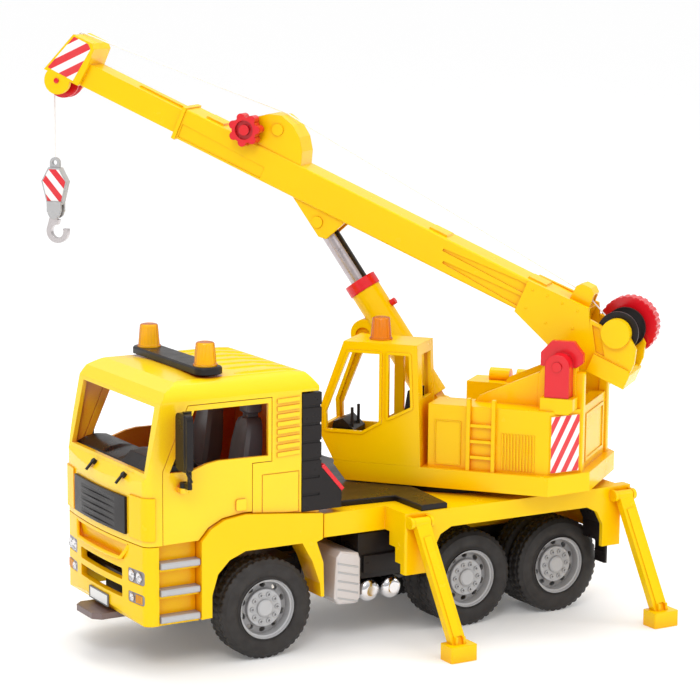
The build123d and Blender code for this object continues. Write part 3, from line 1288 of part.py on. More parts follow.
with BuildPart() as hook_block:
    with BuildSketch(crane_side(3.5)):
        outline([(ROPE_X - 5.5, 354), (ROPE_X - 12.2, 342), (ROPE_X - 7.5, 323.5), (ROPE_X + 7.5, 323.5),
                 (ROPE_X + 12.2, 342), (ROPE_X + 5.5, 354)])
    extrude(amount=7)
    with BuildSketch(crane_side(1.6)):
        with Locations((ROPE_X, EYE_TOP - 4.6)):
            Circle(4.6)
        with Locations((ROPE_X, 355)):
            Rectangle(9.2, 6)
        with Locations((ROPE_X, EYE_TOP - 4.6)):
            Circle(2.3, mode=Mode.SUBTRACT)
    extrude(amount=3.2)
    for high in (-2.6, 4.8):
        with BuildSketch(crane_side(high)):
            with Locations((ROPE_X, 319.5)):
                Rectangle(13.6, 9)
            with Locations((ROPE_X, HOOK_RIVET_Z)):
                Circle(6)
        extrude(amount=2.2)
    with BuildSketch(crane_side(4.8)):
        with Locations((ROPE_X, 323)):
            Rectangle(13.6, 3)
        with Locations((ROPE_X, HOOK_RIVET_Z)):
            Circle(1.5)
    extrude(amount=9.6)
pieces["hook_block"] = hook_block

HOOK_CENTRE = (ROPE_X + 2.0, 298.0)
with BuildPart() as hook:
    with BuildSketch(crane_side(2.4)):
        with Locations(HOOK_CENTRE):
            Circle(10.4)
            Circle(5.9, mode=Mode.SUBTRACT)
        outline([(ROPE_X, 296), (ROPE_X + 4, 309), (ROPE_X + 14, 309), (ROPE_X + 14, 300.5), (ROPE_X + 7, 300.5)],
                Mode.SUBTRACT)
        outline([(ROPE_X - 3.4, HOOK_RIVET_Z + 1), (ROPE_X + 3.4, HOOK_RIVET_Z), (ROPE_X + 1, 305),
                 (ROPE_X - 3.5, 301.4), (ROPE_X - 7.6, 302)])
        with Locations((ROPE_X, HOOK_RIVET_Z)):
            Circle(4.4)
            Circle(1.5 + RUNNING, mode=Mode.SUBTRACT)
    extrude(amount=4.8)
pieces["hook"] = hook

# ---------------------------------------------------------------- lift cylinder
BARREL_START = 11.0       # the ears end here, the round barrel begins

with BuildPart() as lift_barrel:
    with BuildSketch(lift_side(-9)):
        Circle(7)
        with Locations((BARREL_START / 2, 0)):
            Rectangle(BARREL_START + 2, 13)
    extrude(amount=18)
    with BuildSketch(lift_across(BARREL_START)):
        Circle(BARREL_RADIUS)
    extrude(amount=BARREL_LENGTH - BARREL_START)
    # round housing of the lift ratchet, in front of the barrel
    with BuildSketch(lift_side(-8)):
        with Locations((86, -19)):
            Circle(12.5)
    extrude(amount=16)
    with BuildSketch(lift_side(-8)):
        with Locations((86, -21)):
            Circle(6.5)
            Circle(2.5, mode=Mode.SUBTRACT)
    extrude(amount=3, mode=Mode.SUBTRACT)
    # flat for the release button, then the bore and the foot hole
    with BuildSketch(Plane(origin=FOOT + LIFT_DIR * 96 + LIFT_BACK * BARREL_RADIUS, x_dir=RIGHT, z_dir=LIFT_BACK)):
        Circle(3.2)
    extrude(amount=-1.5)
    with BuildSketch(lift_across(BARREL_START + 7)):
        Circle(ROD_RADIUS + RUNNING)
    extrude(amount=BARREL_LENGTH, mode=Mode.SUBTRACT)
    with BuildSketch(lift_side(-9)):
        Circle(FOOT_PIN_RADIUS + RUNNING)
    extrude(amount=18, mode=Mode.SUBTRACT)
pieces["lift_barrel"] = lift_barrel

with BuildPart() as collar_and_button:
    with BuildSketch(lift_across(BARREL_LENGTH)):
        Circle(BARREL_RADIUS + 1)
        Circle(ROD_RADIUS + RUNNING, mode=Mode.SUBTRACT)
    extrude(amount=9.7)
    # release button behind the barrel
    with BuildSketch(Plane(origin=FOOT + LIFT_DIR * 96 + LIFT_BACK * BARREL_RADIUS, x_dir=RIGHT, z_dir=LIFT_BACK)):
        Circle(2.8)
    extrude(amount=4.6)
pieces["collar_and_button"] = collar_and_button

with BuildPart() as lift_rod:
    with BuildSketch(lift_across(50)):
        Circle(ROD_RADIUS)
    extrude(amount=LIFT_LENGTH - 50)
    with BuildSketch(lift_side(-ROD_RADIUS + 0.3)):
        with Locations((LIFT_LENGTH, 0)):
            Circle(EYE_RADIUS)
    extrude(amount=2 * ROD_RADIUS - 0.6)
    # ratchet slot along the back of the rod
    with BuildSketch(lift_side(-2)):
        outline([(56, 6), (56, 9), (LIFT_LENGTH - 12, 9), (LIFT_LENGTH - 12, 6)])
    extrude(amount=4, mode=Mode.SUBTRACT)
    with BuildSketch(lift_side(-9)):
        with Locations((LIFT_LENGTH, 0)):
            Circle(EYE_HOLE_RADIUS)
    extrude(amount=18, mode=Mode.SUBTRACT)
pieces["lift_rod"] = lift_rod

for label, piece in pieces.items():
    piece.part.label = label
    piece.part.position -= BOX_CENTRE
    export_step(piece.part, f"parts/{label}.step")
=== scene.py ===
"""Looks of the toy crane truck: materials, tyres, lenses, rope, stripes, lights and camera.

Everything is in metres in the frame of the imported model: -X forward, -Y left, +Z up.
truck(), crane(), boom() and lift() give points in millimetres in the axes of those assemblies.
Sizes are in millimetres unless multiplied by MM or given to a material, which works in metres.
"""
import json
import math

import bmesh
import bpy
from mathutils import Matrix, Vector


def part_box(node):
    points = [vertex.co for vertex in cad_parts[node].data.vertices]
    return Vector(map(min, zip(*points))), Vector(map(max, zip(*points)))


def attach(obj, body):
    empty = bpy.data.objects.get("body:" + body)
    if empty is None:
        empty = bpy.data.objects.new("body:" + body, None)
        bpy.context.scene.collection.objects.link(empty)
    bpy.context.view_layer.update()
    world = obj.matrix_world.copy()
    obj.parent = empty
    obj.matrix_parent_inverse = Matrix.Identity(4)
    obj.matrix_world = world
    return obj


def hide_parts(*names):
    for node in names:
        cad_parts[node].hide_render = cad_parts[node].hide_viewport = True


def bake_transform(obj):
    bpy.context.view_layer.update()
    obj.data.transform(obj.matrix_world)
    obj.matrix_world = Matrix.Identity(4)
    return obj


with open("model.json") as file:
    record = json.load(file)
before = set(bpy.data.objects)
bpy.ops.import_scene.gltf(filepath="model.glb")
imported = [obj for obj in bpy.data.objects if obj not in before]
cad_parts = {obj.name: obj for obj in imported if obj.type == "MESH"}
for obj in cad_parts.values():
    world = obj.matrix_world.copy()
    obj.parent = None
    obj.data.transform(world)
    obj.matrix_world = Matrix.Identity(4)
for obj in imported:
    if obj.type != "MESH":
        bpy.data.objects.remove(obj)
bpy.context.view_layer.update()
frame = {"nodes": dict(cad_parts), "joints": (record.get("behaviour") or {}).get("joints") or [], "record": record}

nodes = frame["nodes"]
MM = 0.001

# ---------------------------------------------------------------- shared geometry of the crane
JOINTS = {joint["name"]: joint for joint in frame["joints"]}
UP = Vector((0, 0, 1))
RIGHT = Vector(JOINTS["boom_luff"]["axis"]).normalized()
BACK = RIGHT.cross(UP)
SLEW = Vector(JOINTS["crane_slew"]["pos_m"])
SLEW.z = 0.0
FRONT_AXLE = Vector(JOINTS["front_axle_spin"]["pos_m"])
FRONT_AXLE.z = 0.0
PIVOT = Vector(JOINTS["boom_luff"]["pos_m"])
BOOM_DIR = Vector(JOINTS["boom_extend"]["axis"]).normalized()
BOOM_UP = BOOM_DIR.cross(RIGHT)
if BOOM_UP.z < 0:
    BOOM_UP = -BOOM_UP
LIFT_DIR = Vector(JOINTS["piston_slide"]["axis"]).normalized()
LIFT_FOOT = Vector(JOINTS["cylinder_pivot"]["pos_m"])
LIFT_BACK = RIGHT.cross(LIFT_DIR)
SIDES = ((-1, "left"), (1, "right"))
SQUARE = ((-1, -1), (1, -1), (1, 1), (-1, 1))


def truck(x, y, z):
    """Point in the truck's own axes in millimetres: behind the front axle, to the right, up."""
    return FRONT_AXLE + Vector((x, y, z)) * MM


def crane(x, y, z):
    """Point in the crane's own axes in millimetres: backwards, to its right, up."""
    return SLEW + (BACK * x + RIGHT * y + UP * z) * MM


def boom(along, up, y=0.0):
    """Point in the boom's own axes in millimetres: along it, square to it, to its right."""
    return PIVOT + (BOOM_DIR * along + BOOM_UP * up + RIGHT * y) * MM


# ---------------------------------------------------------------- materials
def new_material(name):
    """Material with one Principled shader: gives the material, its node tree and the shader."""
    material = bpy.data.materials.new(name)
    material.use_nodes = True
    tree = material.node_tree
    tree.nodes.clear()
    out = tree.nodes.new("ShaderNodeOutputMaterial")
    shader = tree.nodes.new("ShaderNodeBsdfPrincipled")
    tree.links.new(shader.outputs[0], out.inputs[0])
    return material, tree, shader


def noise(tree, scale, detail=3.0, stretch=(1, 1, 1)):
    """Socket with a noise between 0 and 1; scale is in bumps per metre."""
    coords = tree.nodes.new("ShaderNodeTexCoord")
    mapping = tree.nodes.new("ShaderNodeMapping")
    mapping.inputs["Scale"].default_value = stretch
    texture = tree.nodes.new("ShaderNodeTexNoise")
    texture.inputs["Scale"].default_value = scale
    texture.inputs["Detail"].default_value = detail
    tree.links.new(coords.outputs["Object"], mapping.inputs["Vector"])
    tree.links.new(mapping.outputs[0], texture.inputs["Vector"])
    return texture.outputs["Fac"]


def ramp(tree, value, low, high, low_out=0.0, high_out=1.0):
    """Socket that maps value from low..high to low_out..high_out and stops at both ends."""
    node = tree.nodes.new("ShaderNodeMapRange")
    node.inputs["From Min"].default_value = low
    node.inputs["From Max"].default_value = high
    node.inputs["To Min"].default_value = low_out
    node.inputs["To Max"].default_value = high_out
    tree.links.new(value, node.inputs["Value"])
    return node.outputs[0]


def mix(tree, factor, first, second):
    """Mixes two colours; each is a colour tuple or a socket."""
    node = tree.nodes.new("ShaderNodeMix")
    node.data_type = "RGBA"
    for socket, value in (("A", first), ("B", second)):
        target = [s for s in node.inputs if s.name == socket and s.type == "RGBA"][0]
        if isinstance(value, tuple):
            target.default_value = (*value, 1.0)
        else:
            tree.links.new(value, target)
    if isinstance(factor, float):
        node.inputs["Factor"].default_value = factor
    else:
        tree.links.new(factor, node.inputs["Factor"])
    return [s for s in node.outputs if s.type == "RGBA"][0]


BUMP_HEIGHT = 0.0002      # metres


def soft_normal(tree, shader, radius, bump_value, strength):
    """Rounds sharp edges by radius and adds a fine surface texture."""
    bevel = tree.nodes.new("ShaderNodeBevel")
    bevel.samples = 4
    bevel.inputs["Radius"].default_value = radius
    bump = tree.nodes.new("ShaderNodeBump")
    bump.inputs["Strength"].default_value = strength
    bump.inputs["Distance"].default_value = BUMP_HEIGHT
    tree.links.new(bump_value, bump.inputs["Height"])
    tree.links.new(bevel.outputs[0], bump.inputs["Normal"])
    tree.links.new(bump.outputs[0], shader.inputs["Normal"])


def plastic(name, colour, shade, roughness=0.28, grain=900.0, grain_strength=0.15, edge=0.0008, reach=0.03,
            shine=0.5):
    """Moulded plastic: colour flows slightly, hollows narrower than reach take the shade colour as painted shade.
    """
    material, tree, shader = new_material(name)
    flow = ramp(tree, noise(tree, 14.0, 2.0), 0.35, 0.65, 0.0, 0.35)
    body = mix(tree, flow, colour, tuple(c * 0.93 for c in colour))
    # painted shade: ambient occlusion mixes the colour towards the shade colour in hollows, creases and gaps
    # between parts
    hollow = tree.nodes.new("ShaderNodeAmbientOcclusion")
    hollow.samples = 4
    hollow.inputs["Distance"].default_value = reach
    open_at = 0.75 if reach < 0.1 else 0.85
    depth = ramp(tree, hollow.outputs["AO"], 0.15, open_at, 1.0, 0.0)
    tree.links.new(mix(tree, depth, body, shade), shader.inputs["Base Color"])
    shader.inputs["Specular IOR Level"].default_value = shine
    wear = ramp(tree, noise(tree, 60.0, 4.0), 0.3, 0.7, roughness * 0.8, roughness * 1.25)
    tree.links.new(wear, shader.inputs["Roughness"])
    soft_normal(tree, shader, edge, noise(tree, grain, 2.0), grain_strength)
    return material


YELLOW = plastic("yellow_plastic", (0.94, 0.60, 0.0), (0.84, 0.24, 0.0), 0.22, 700.0, 0.05, shine=0.22)
# painted shade: the long reach darkens the cab's inside and its seams to a red-brown shade colour
CAB_YELLOW = plastic("cab_yellow", (0.95, 0.66, 0.001), (0.72, 0.09, 0.025), 0.18, 700.0, 0.05, reach=0.12)
RED = plastic("red_plastic", (0.74, 0.006, 0.015), (0.36, 0.003, 0.006), 0.20, 700.0, 0.05)
BLACK = plastic("black_plastic", (0.012, 0.009, 0.009), (0.004, 0.003, 0.003), 0.30, 1400.0, 0.30, shine=0.25)
GREY = plastic("silver_plastic", (0.46, 0.46, 0.47), (0.24, 0.23, 0.23), 0.34)
PALE_GREY = plastic("pale_grey_plastic", (0.62, 0.58, 0.57), (0.34, 0.31, 0.30), 0.36)
BROWN_GREY = plastic("brown_grey_plastic", (0.17, 0.12, 0.115), (0.07, 0.05, 0.05), 0.40)
DARK_GREY = plastic("grey_plastic", (0.20, 0.21, 0.22), (0.08, 0.08, 0.085), 0.45)
WHITE = plastic("white_sticker", (0.88, 0.88, 0.86), (0.7, 0.68, 0.66), 0.35)


def metal(name, colour, roughness, grain):
    """Bare or plated metal with a slightly uneven polish."""
    material, tree, shader = new_material(name)
    shader.inputs["Metallic"].default_value = 1.0
    tone = ramp(tree, noise(tree, 30.0, 3.0), 0.3, 0.7, 0.0, 0.3)
    tree.links.new(mix(tree, tone, colour, tuple(c * 0.85 for c in colour)), shader.inputs["Base Color"])
    polish = ramp(tree, noise(tree, 200.0), 0.3, 0.7, roughness * 0.7, roughness * 1.4)
    tree.links.new(polish, shader.inputs["Roughness"])
    soft_normal(tree, shader, 0.0004, noise(tree, grain, 3.0), 0.08)
    return material


CHROME = metal("chrome_metal", (0.72, 0.71, 0.72), 0.12, 600.0)
ROD_METAL = metal("rod_metal", (0.46, 0.41, 0.42), 0.30, 600.0)
HOOK_METAL = metal("hook_metal", (0.60, 0.56, 0.56), 0.30, 500.0)
STEEL = metal("steel_pin", (0.48, 0.48, 0.50), 0.3, 1200.0)
MIRROR = metal("mirror_glass", (0.80, 0.82, 0.84), 0.04, 80.0)


def rubber():
    """Tyre rubber with a little dust on it."""
    material, tree, shader = new_material("tyre_rubber")
    dust = ramp(tree, noise(tree, 25.0, 5.0), 0.45, 0.8, 0.0, 0.35)
    tree.links.new(mix(tree, dust, (0.016, 0.013, 0.012), (0.04, 0.033, 0.03)), shader.inputs["Base Color"])
    tree.links.new(ramp(tree, noise(tree, 120.0), 0.3, 0.7, 0.5, 0.75), shader.inputs["Roughness"])
    soft_normal(tree, shader, 0.0006, noise(tree, 1500.0, 3.0), 0.4)
    return material


RUBBER = rubber()


def lens(name, colour, roughness, transmission):
    """Glossy lamp glass that lets part of the light through."""
    material, tree, shader = new_material(name)
    tone = ramp(tree, noise(tree, 80.0), 0.3, 0.7, 0.0, 0.3)
    tree.links.new(mix(tree, tone, colour, tuple(c * 0.8 for c in colour)), shader.inputs["Base Color"])
    shader.inputs["Roughness"].default_value = roughness
    shader.inputs["Transmission Weight"].default_value = transmission
    shader.inputs["Coat Weight"].default_value = 0.4
    soft_normal(tree, shader, 0.0005, noise(tree, 500.0), 0.05)
    return material




def tinted(name, middle, rim):
    """Clear coloured plastic in thick section, with painted light: bright where seen straight through, deep at its
    edges.
    """
    material, tree, shader = new_material(name)
    view = tree.nodes.new("ShaderNodeLayerWeight")
    view.inputs["Blend"].default_value = 0.5
    # painted light: the lens takes the bright middle colour where it faces the camera and the deep rim colour
    # towards its outline
    depth = ramp(tree, view.outputs["Facing"], 0.25, 0.85)
    tone = ramp(tree, noise(tree, 120.0, 3.0), 0.3, 0.7, 0.0, 0.35)
    inside = mix(tree, tone, middle, tuple(c * 0.78 for c in middle))
    tree.links.new(mix(tree, depth, inside, rim), shader.inputs["Base Color"])
    tree.links.new(ramp(tree, noise(tree, 90.0), 0.3, 0.7, 0.06, 0.14), shader.inputs["Roughness"])
    shader.inputs["Specular IOR Level"].default_value = 0.35
    soft_normal(tree, shader, 0.0004, noise(tree, 500.0), 0.08)
    return material


AMBER = tinted("amber_lens", (0.96, 0.46, 0.0), (0.40, 0.06, 0.0))
DEEP_AMBER = tinted("deep_amber_lens", (0.80, 0.23, 0.004), (0.34, 0.04, 0.0))
CLEAR = lens("clear_lens", (0.34, 0.31, 0.32), 0.12, 0.25)
AMBER_CORE = plastic("amber_core", (0.80, 0.20, 0.0), (0.4, 0.08, 0.0), 0.3)
RED_LENS = lens("red_lens", (0.7, 0.01, 0.01), 0.12, 0.3)


def cord():
    """Pale twisted cord."""
    material, tree, shader = new_material("rope_fibre")
    twist = noise(tree, 900.0, 2.0, (1, 1, 0.3))
    tree.links.new(mix(tree, twist, (0.95, 0.95, 0.94), (0.80, 0.79, 0.78)), shader.inputs["Base Color"])
    shader.inputs["Roughness"].default_value = 0.8
    soft_normal(tree, shader, 0.0002, twist, 0.5)
    return material


CORD = cord()


def stripes(name, direction, pitch, offset=0.0):
    """Slanted red and white warning stripes along direction; pitch spans one red and one white band."""
    material, tree, shader = new_material(name)
    coords = tree.nodes.new("ShaderNodeTexCoord")
    dot = tree.nodes.new("ShaderNodeVectorMath")
    dot.operation = "DOT_PRODUCT"
    dot.inputs[1].default_value = Vector(direction).normalized() / pitch
    tree.links.new(coords.outputs["Object"], dot.inputs[0])
    shift = tree.nodes.new("ShaderNodeMath")
    shift.inputs[1].default_value = offset
    tree.links.new(dot.outputs["Value"], shift.inputs[0])
    part = tree.nodes.new("ShaderNodeMath")
    part.operation = "FRACT"
    tree.links.new(shift.outputs[0], part.inputs[0])
    band = ramp(tree, part.outputs[0], 0.49, 0.51)
    grime = ramp(tree, noise(tree, 40.0, 4.0), 0.4, 0.9, 0.0, 0.12)
    paint = mix(tree, band, (0.74, 0.02, 0.03), (0.90, 0.89, 0.88))
    tree.links.new(mix(tree, grime, paint, (0.5, 0.45, 0.4)), shader.inputs["Base Color"])
    shader.inputs["Roughness"].default_value = 0.3
    soft_normal(tree, shader, 0.0003, noise(tree, 700.0), 0.05)
    return material


SLOT_MATERIALS = {
    "yellow_plastic": YELLOW, "red_plastic": RED, "black_plastic": BLACK, "silver_plastic": GREY,
    "grey_plastic": DARK_GREY, "tyre_rubber": RUBBER, "amber_lens": AMBER, "clear_lens": CLEAR,
    "chrome_metal": CHROME, "steel_pin": STEEL, "striped_plastic": GREY, "rope_fibre": CORD,
}
for part in frame["record"]["subparts"]:
    data = nodes[part["node"]].data
    data.materials.clear()
    data.materials.append(SLOT_MATERIALS[part["material_slot"]])
for name in ("front_fenders", "outrigger_front_left", "outrigger_front_right",
             "outrigger_rear_left", "outrigger_rear_right"):
    nodes[name].data.materials[0] = YELLOW
for name in ("cab_shell", "door_left", "door_right"):
    nodes[name].data.materials[0] = CAB_YELLOW
nodes["step_treads"].data.materials[0] = GREY
nodes["step_tank"].data.materials[0] = PALE_GREY
nodes["tow_step"].data.materials[0] = BROWN_GREY
# painted shade: the arch liners are coloured black for the darkness inside the wheel arches
nodes["arch_liners"].data.materials[0] = BLACK
nodes["lift_rod"].data.materials[0] = ROD_METAL
nodes["hook"].data.materials[0] = HOOK_METAL


# ---------------------------------------------------------------- mesh helpers
SHARP_ANGLE = math.radians(35)


def add_mesh(name, vertices, faces, material, body, smooth=True):
    """New piece from points in metres; it rides on body, unless body is None."""
    mesh = bpy.data.meshes.new(name)
    mesh.from_pydata([tuple(v) for v in vertices], [], faces)
    mesh.update()
    piece = bpy.data.objects.new(name, mesh)
    bpy.context.scene.collection.objects.link(piece)
    mesh.materials.append(material)
    for face in mesh.polygons:
        face.use_smooth = smooth
    if smooth:
        mesh.set_sharp_from_angle(angle=SHARP_ANGLE)
    if body:
        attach(piece, body)
    return piece


def face_outwards(piece):
    """Turns every face of a closed mesh to look outwards."""
    work = bmesh.new()
    work.from_mesh(piece.data)
    bmesh.ops.recalc_face_normals(work, faces=work.faces)
    work.to_mesh(piece.data)
    work.free()
    return piece


def plate(name, corners, thickness, material, body):
    """Flat plate with the given corner points, thickened away from the side that is seen."""
    normal = (corners[1] - corners[0]).cross(corners[2] - corners[0]).normalized()
    count = len(corners)
    back = [c - normal * thickness for c in corners]
    faces = [tuple(range(count)), tuple(range(2 * count - 1, count - 1, -1))]
    faces += [(i, count + i, count + (i + 1) % count, (i + 1) % count) for i in range(count)]
    return add_mesh(name, [*corners, *back], faces, material, body, smooth=False)


def skin(name, rows, material, body):
    """Closed skin over rows of points of equal length, with both end rows capped."""
    width = len(rows[0])
    vertices = [point for row in rows for point in row]
    faces = [tuple(range(width)), tuple(range((len(rows) - 1) * width, len(rows) * width))]
    for r in range(len(rows) - 1):
        for k in range(width):
            a, b = r * width + k, r * width + (k + 1) % width
            faces.append((a, b, b + width, a + width))
    return face_outwards(add_mesh(name, vertices, faces, material, body))


def turned_to(corners, outward):
    """The corners in the order that makes their face look outwards."""
    if (corners[1] - corners[0]).cross(corners[2] - corners[0]).dot(outward) < 0:
        corners.reverse()
    return corners


# ---------------------------------------------------------------- tyres
TYRE_SEGMENTS = 126
TREAD_PERIOD = 3          # segments per tread block, one of them the gap
TREAD_DEPTH = 1.1
SHOULDER_DEPTH = 0.45
# points of the tyre's section that the gaps lower, and how far each row of gaps is turned
TREAD_ROWS = {8: 0, 9: 0, 10: 0, 13: 1, 14: 1, 17: 2, 18: 2, 19: 2}
SHOULDER_POINTS = (8, 19)
WHEEL_RADIUS = 40.0
TRACK_HALF = 75.0         # outer faces of the outer tyres
TWIN_INNER_FACE = 51.5


def lathe(name, centre, axis, start, profile, segments, material, body, smooth=True, shape=None):
    """Turned piece: profile is (distance along axis, radius); shape may change the radius round the turn."""
    side = axis.cross(start)
    vertices = []
    for step in range(segments):
        angle = 2 * math.pi * step / segments
        ray = start * math.cos(angle) + side * math.sin(angle)
        for index, (along, radius) in enumerate(profile):
            if shape:
                along, radius = shape(index, step, along, radius)
            vertices.append(centre + (axis * along + ray * radius) * MM)
    rows = len(profile)
    faces = []
    for step in range(segments):
        here, there = step * rows, (step + 1) % segments * rows
        faces += [(here + i, here + i + 1, there + i + 1, there + i) for i in range(rows - 1)]
    return add_mesh(name, vertices, faces, material, body, smooth)


def tyre(name, axle_x, face_y, width, body):
    """Tyre with a rounded side wall, rim bead, shoulder lugs and three rows of tread blocks."""
    outward = 1 if face_y > 0 else -1
    profile = [
        (0.0, 23.9), (1.2, 24.4), (1.6, 25.6), (0.9, 26.4), (0.2, 30.0), (0.1, 33.5), (0.7, 36.3),
        (1.0, 36.5), (1.6, 38.0), (3.0, 39.9), (width * 0.26, 39.9), (width * 0.29, 38.2),
        (width * 0.34, 38.2), (width * 0.37, 40.0), (width * 0.63, 40.0), (width * 0.66, 38.2),
        (width * 0.71, 38.2),
        (width * 0.74, 39.9), (width - 3.0, 39.9), (width - 1.6, 38.0), (width - 0.7, 36.3),
        (width - 0.1, 33.5), (width - 0.2, 30.0), (width - 1.6, 25.6), (width, 23.9),
    ]

    def tread(index, step, along, radius):
        row = TREAD_ROWS.get(index)
        if row is not None and (step + row) % TREAD_PERIOD == 0:
            radius -= SHOULDER_DEPTH if index in SHOULDER_POINTS else TREAD_DEPTH
        return along, radius

    centre = truck(axle_x, face_y, WHEEL_RADIUS)
    lathe(name, centre, Vector((0, -outward, 0)), Vector((0, 0, 1)), profile, TYRE_SEGMENTS, RUBBER, body,
          True, tread)


for axle, axle_x, twin in (("front", 0.0, False), ("middle", 188.0, True), ("rear", 277.0, True)):
    for outward, side in SIDES:
        if twin:
            tyre(f"{axle}_{side}_outer_tyre", axle_x, TRACK_HALF * outward, 20.5, f"{axle}_wheels")
            tyre(f"{axle}_{side}_inner_tyre", axle_x, TWIN_INNER_FACE * outward, 20.5, f"{axle}_wheels")
        else:
            tyre(f"{axle}_{side}_tyre", axle_x, TRACK_HALF * outward, 25.0, f"{axle}_wheels")
    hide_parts(f"{axle}_tyres")

# ---------------------------------------------------------------- beacons
BEACON_HEIGHT = 18.4


def beacon(name, base, body, glass):
    """Fluted amber lens with a foot flange, a domed top and a reflector inside."""
    profile = [(0.0, 9.5), (1.2, 9.5), (1.6, 8.6), (3.0, 8.5), (14.5, 7.5), (16.9, 7.3), (17.9, 6.7),
               (18.3, 5.4), (18.1, 4.8), (18.1, 1.2), (BEACON_HEIGHT, 0.0)]

    def flutes(index, step, along, radius):
        if 3 <= index <= 4 and step % 4 < 2:
            radius -= 0.45
        return along, radius

    lathe(f"{name}_lens", base, UP, Vector((1, 0, 0)), profile, 72, glass, body, True, flutes)
    inner = [(0.4, 0.0), (0.4, 6.2), (4.0, 5.8), (6.0, 3.2), (13.0, 2.6), (14.0, 0.0)]
    lathe(f"{name}_reflector", base, UP, Vector((1, 0, 0)), inner, 36, AMBER_CORE, body)


beacon_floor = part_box("cab_beacons")[0].z / MM
for side, label in SIDES:
    beacon(f"beacon_{label}", truck(-41.0, 49.0 * side, beacon_floor), "cab", AMBER)
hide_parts("cab_beacons")
low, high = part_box("crane_beacon")
beacon("beacon_crane", Vector(((low.x + high.x) / 2, (low.y + high.y) / 2, low.z)), "crane", DEEP_AMBER)
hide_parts("crane_beacon")

# ---------------------------------------------------------------- rope
ROPE_RADIUS = 0.6


def tube(name, points, radius, material, body=None, sides=10):
    """Round cord or rod along the points, built as a mesh."""
    vertices, faces = [], []
    count = len(points)
    for index, point in enumerate(points):
        before, after = points[max(index - 1, 0)], points[min(index + 1, count - 1)]
        along = (after - before).normalized()
        across = along.cross(RIGHT if abs(along.dot(RIGHT)) < 0.9 else UP).normalized()
        other = along.cross(across)
        for side in range(sides):
            angle = 2 * math.pi * side / sides
            vertices.append(point + (across * math.cos(angle) + other * math.sin(angle)) * radius * MM)
    for index in range(count - 1):
        for side in range(sides):
            a, b = index * sides + side, index * sides + (side + 1) % sides
            faces.append((a, b, b + sides, a + sides))
    faces.append(tuple(range(sides)))
    faces.append(tuple(reversed(range((count - 1) * sides, count * sides))))
    return add_mesh(name, vertices, faces, material, body)


def line(first, last, steps):
    return [first.lerp(last, i / steps) for i in range(steps + 1)]


rope_low, rope_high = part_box("hoist_rope")
rope_centre = (rope_low + rope_high) / 2
head_top = Vector((rope_centre.x, rope_centre.y, rope_high.z))
block_low, block_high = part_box("hook_block")
eye = Vector((rope_centre.x, rope_centre.y, block_high.z - 0.0012))
hanging = tube("rope_hanging", line(head_top, eye, 60), ROPE_RADIUS, CORD, None)
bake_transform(hanging)
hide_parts("hoist_rope")
run = [boom(-17.5, 34.0), boom(12.0, 46.5), boom(120.0, 56.0), boom(292.0, 69.5), boom(308.0, 71.2)]
path = []
for first, last in zip(run, run[1:]):
    path += line(first, last, 12)[:-1]
path.append(run[-1])
tube("rope_on_boom", path, ROPE_RADIUS, CORD, "boom")
free = line(run[-1], boom(505.0, 55.2), 80)
crossing = tube("rope_to_head", free, ROPE_RADIUS, CORD, None)
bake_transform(crossing)
over = [boom(504.0, 55.3), boom(508.5, 55.0), boom(511.5, 50.0), boom(516.0, 22.0), boom(517.7, 11.0)]
tube("rope_over_head", over + [head_top], ROPE_RADIUS, CORD, "boom_extension")

# rope wound on the drum
DRUM_CENTRE = (-26.4, 32.7)
DRUM_HALF = 10.5
COIL_RADIUS = 9.6
COIL_DEGREES = 360 * 11
winding = []
for step in range(0, COIL_DEGREES, 15):
    angle = math.radians(step)
    ray = BOOM_DIR * math.cos(angle) + BOOM_UP * math.sin(angle)
    across = -DRUM_HALF + 2 * DRUM_HALF * step / COIL_DEGREES
    winding.append(boom(*DRUM_CENTRE, across) + ray * COIL_RADIUS * MM)
tube("rope_winding", winding, 0.95, CORD, "winch", 8)

# ---------------------------------------------------------------- striped stickers
STRIPE_PITCH = 13.0 * MM

head_stripes = stripes("head_stripes", UP * 0.90 + BACK * -0.42, STRIPE_PITCH * 0.95, 0.30)
HEAD_STICKER = ((491.6, 52.2), (506.2, 52.6), (519.2, 18.0), (493.0, 17.2), (488.0, 49.0))
corners = turned_to([boom(along, up, -17.15) for along, up in HEAD_STICKER], -RIGHT)
plate("head_sticker", corners, 0.15 * MM, head_stripes, "boom_extension")

block_x = (Vector((rope_centre.x, rope_centre.y, 0)) - SLEW).dot(BACK) / MM
block_stripes = stripes("block_stripes", BACK * 0.75 + UP * 0.66, STRIPE_PITCH * 0.85, 0.2)
BLOCK_STICKER = ((-4.8, 352.6), (-11.0, 342.0), (-6.7, 324.6), (6.7, 324.6), (11.0, 342.0), (4.8, 352.6))
for side, label in SIDES:
    corners = turned_to([crane(block_x + x, side * 3.65, z) for x, z in BLOCK_STICKER], RIGHT * side)
    plate(f"block_sticker_{label}", corners, 0.12 * MM, block_stripes, "block")

for side, label in SIDES:
    along = (BACK * 20 - RIGHT * (side * 24)).normalized()
    facing = along.cross(UP) * -side
    centre = crane(101, side * 70, 156) + along * 15.6 * MM + facing * 1.12 * MM
    corners = [centre + (along * a * 13.8 + UP * b * 23.0) * MM for a, b in SQUARE]
    warning = stripes(f"corner_stripes_{label}", along * 0.88 - UP * 0.5, STRIPE_PITCH * 0.72, 0.4)
    corners = turned_to(corners, facing)
    plate(f"corner_sticker_{label}", corners, 0.12 * MM, warning, "crane")

# ---------------------------------------------------------------- cab and nose details
NOSE_X = -108.5
BOW_HALF = 65.0
NOSE_BOW = 4.5 / BOW_HALF ** 2
ROOF_Z = 226.5


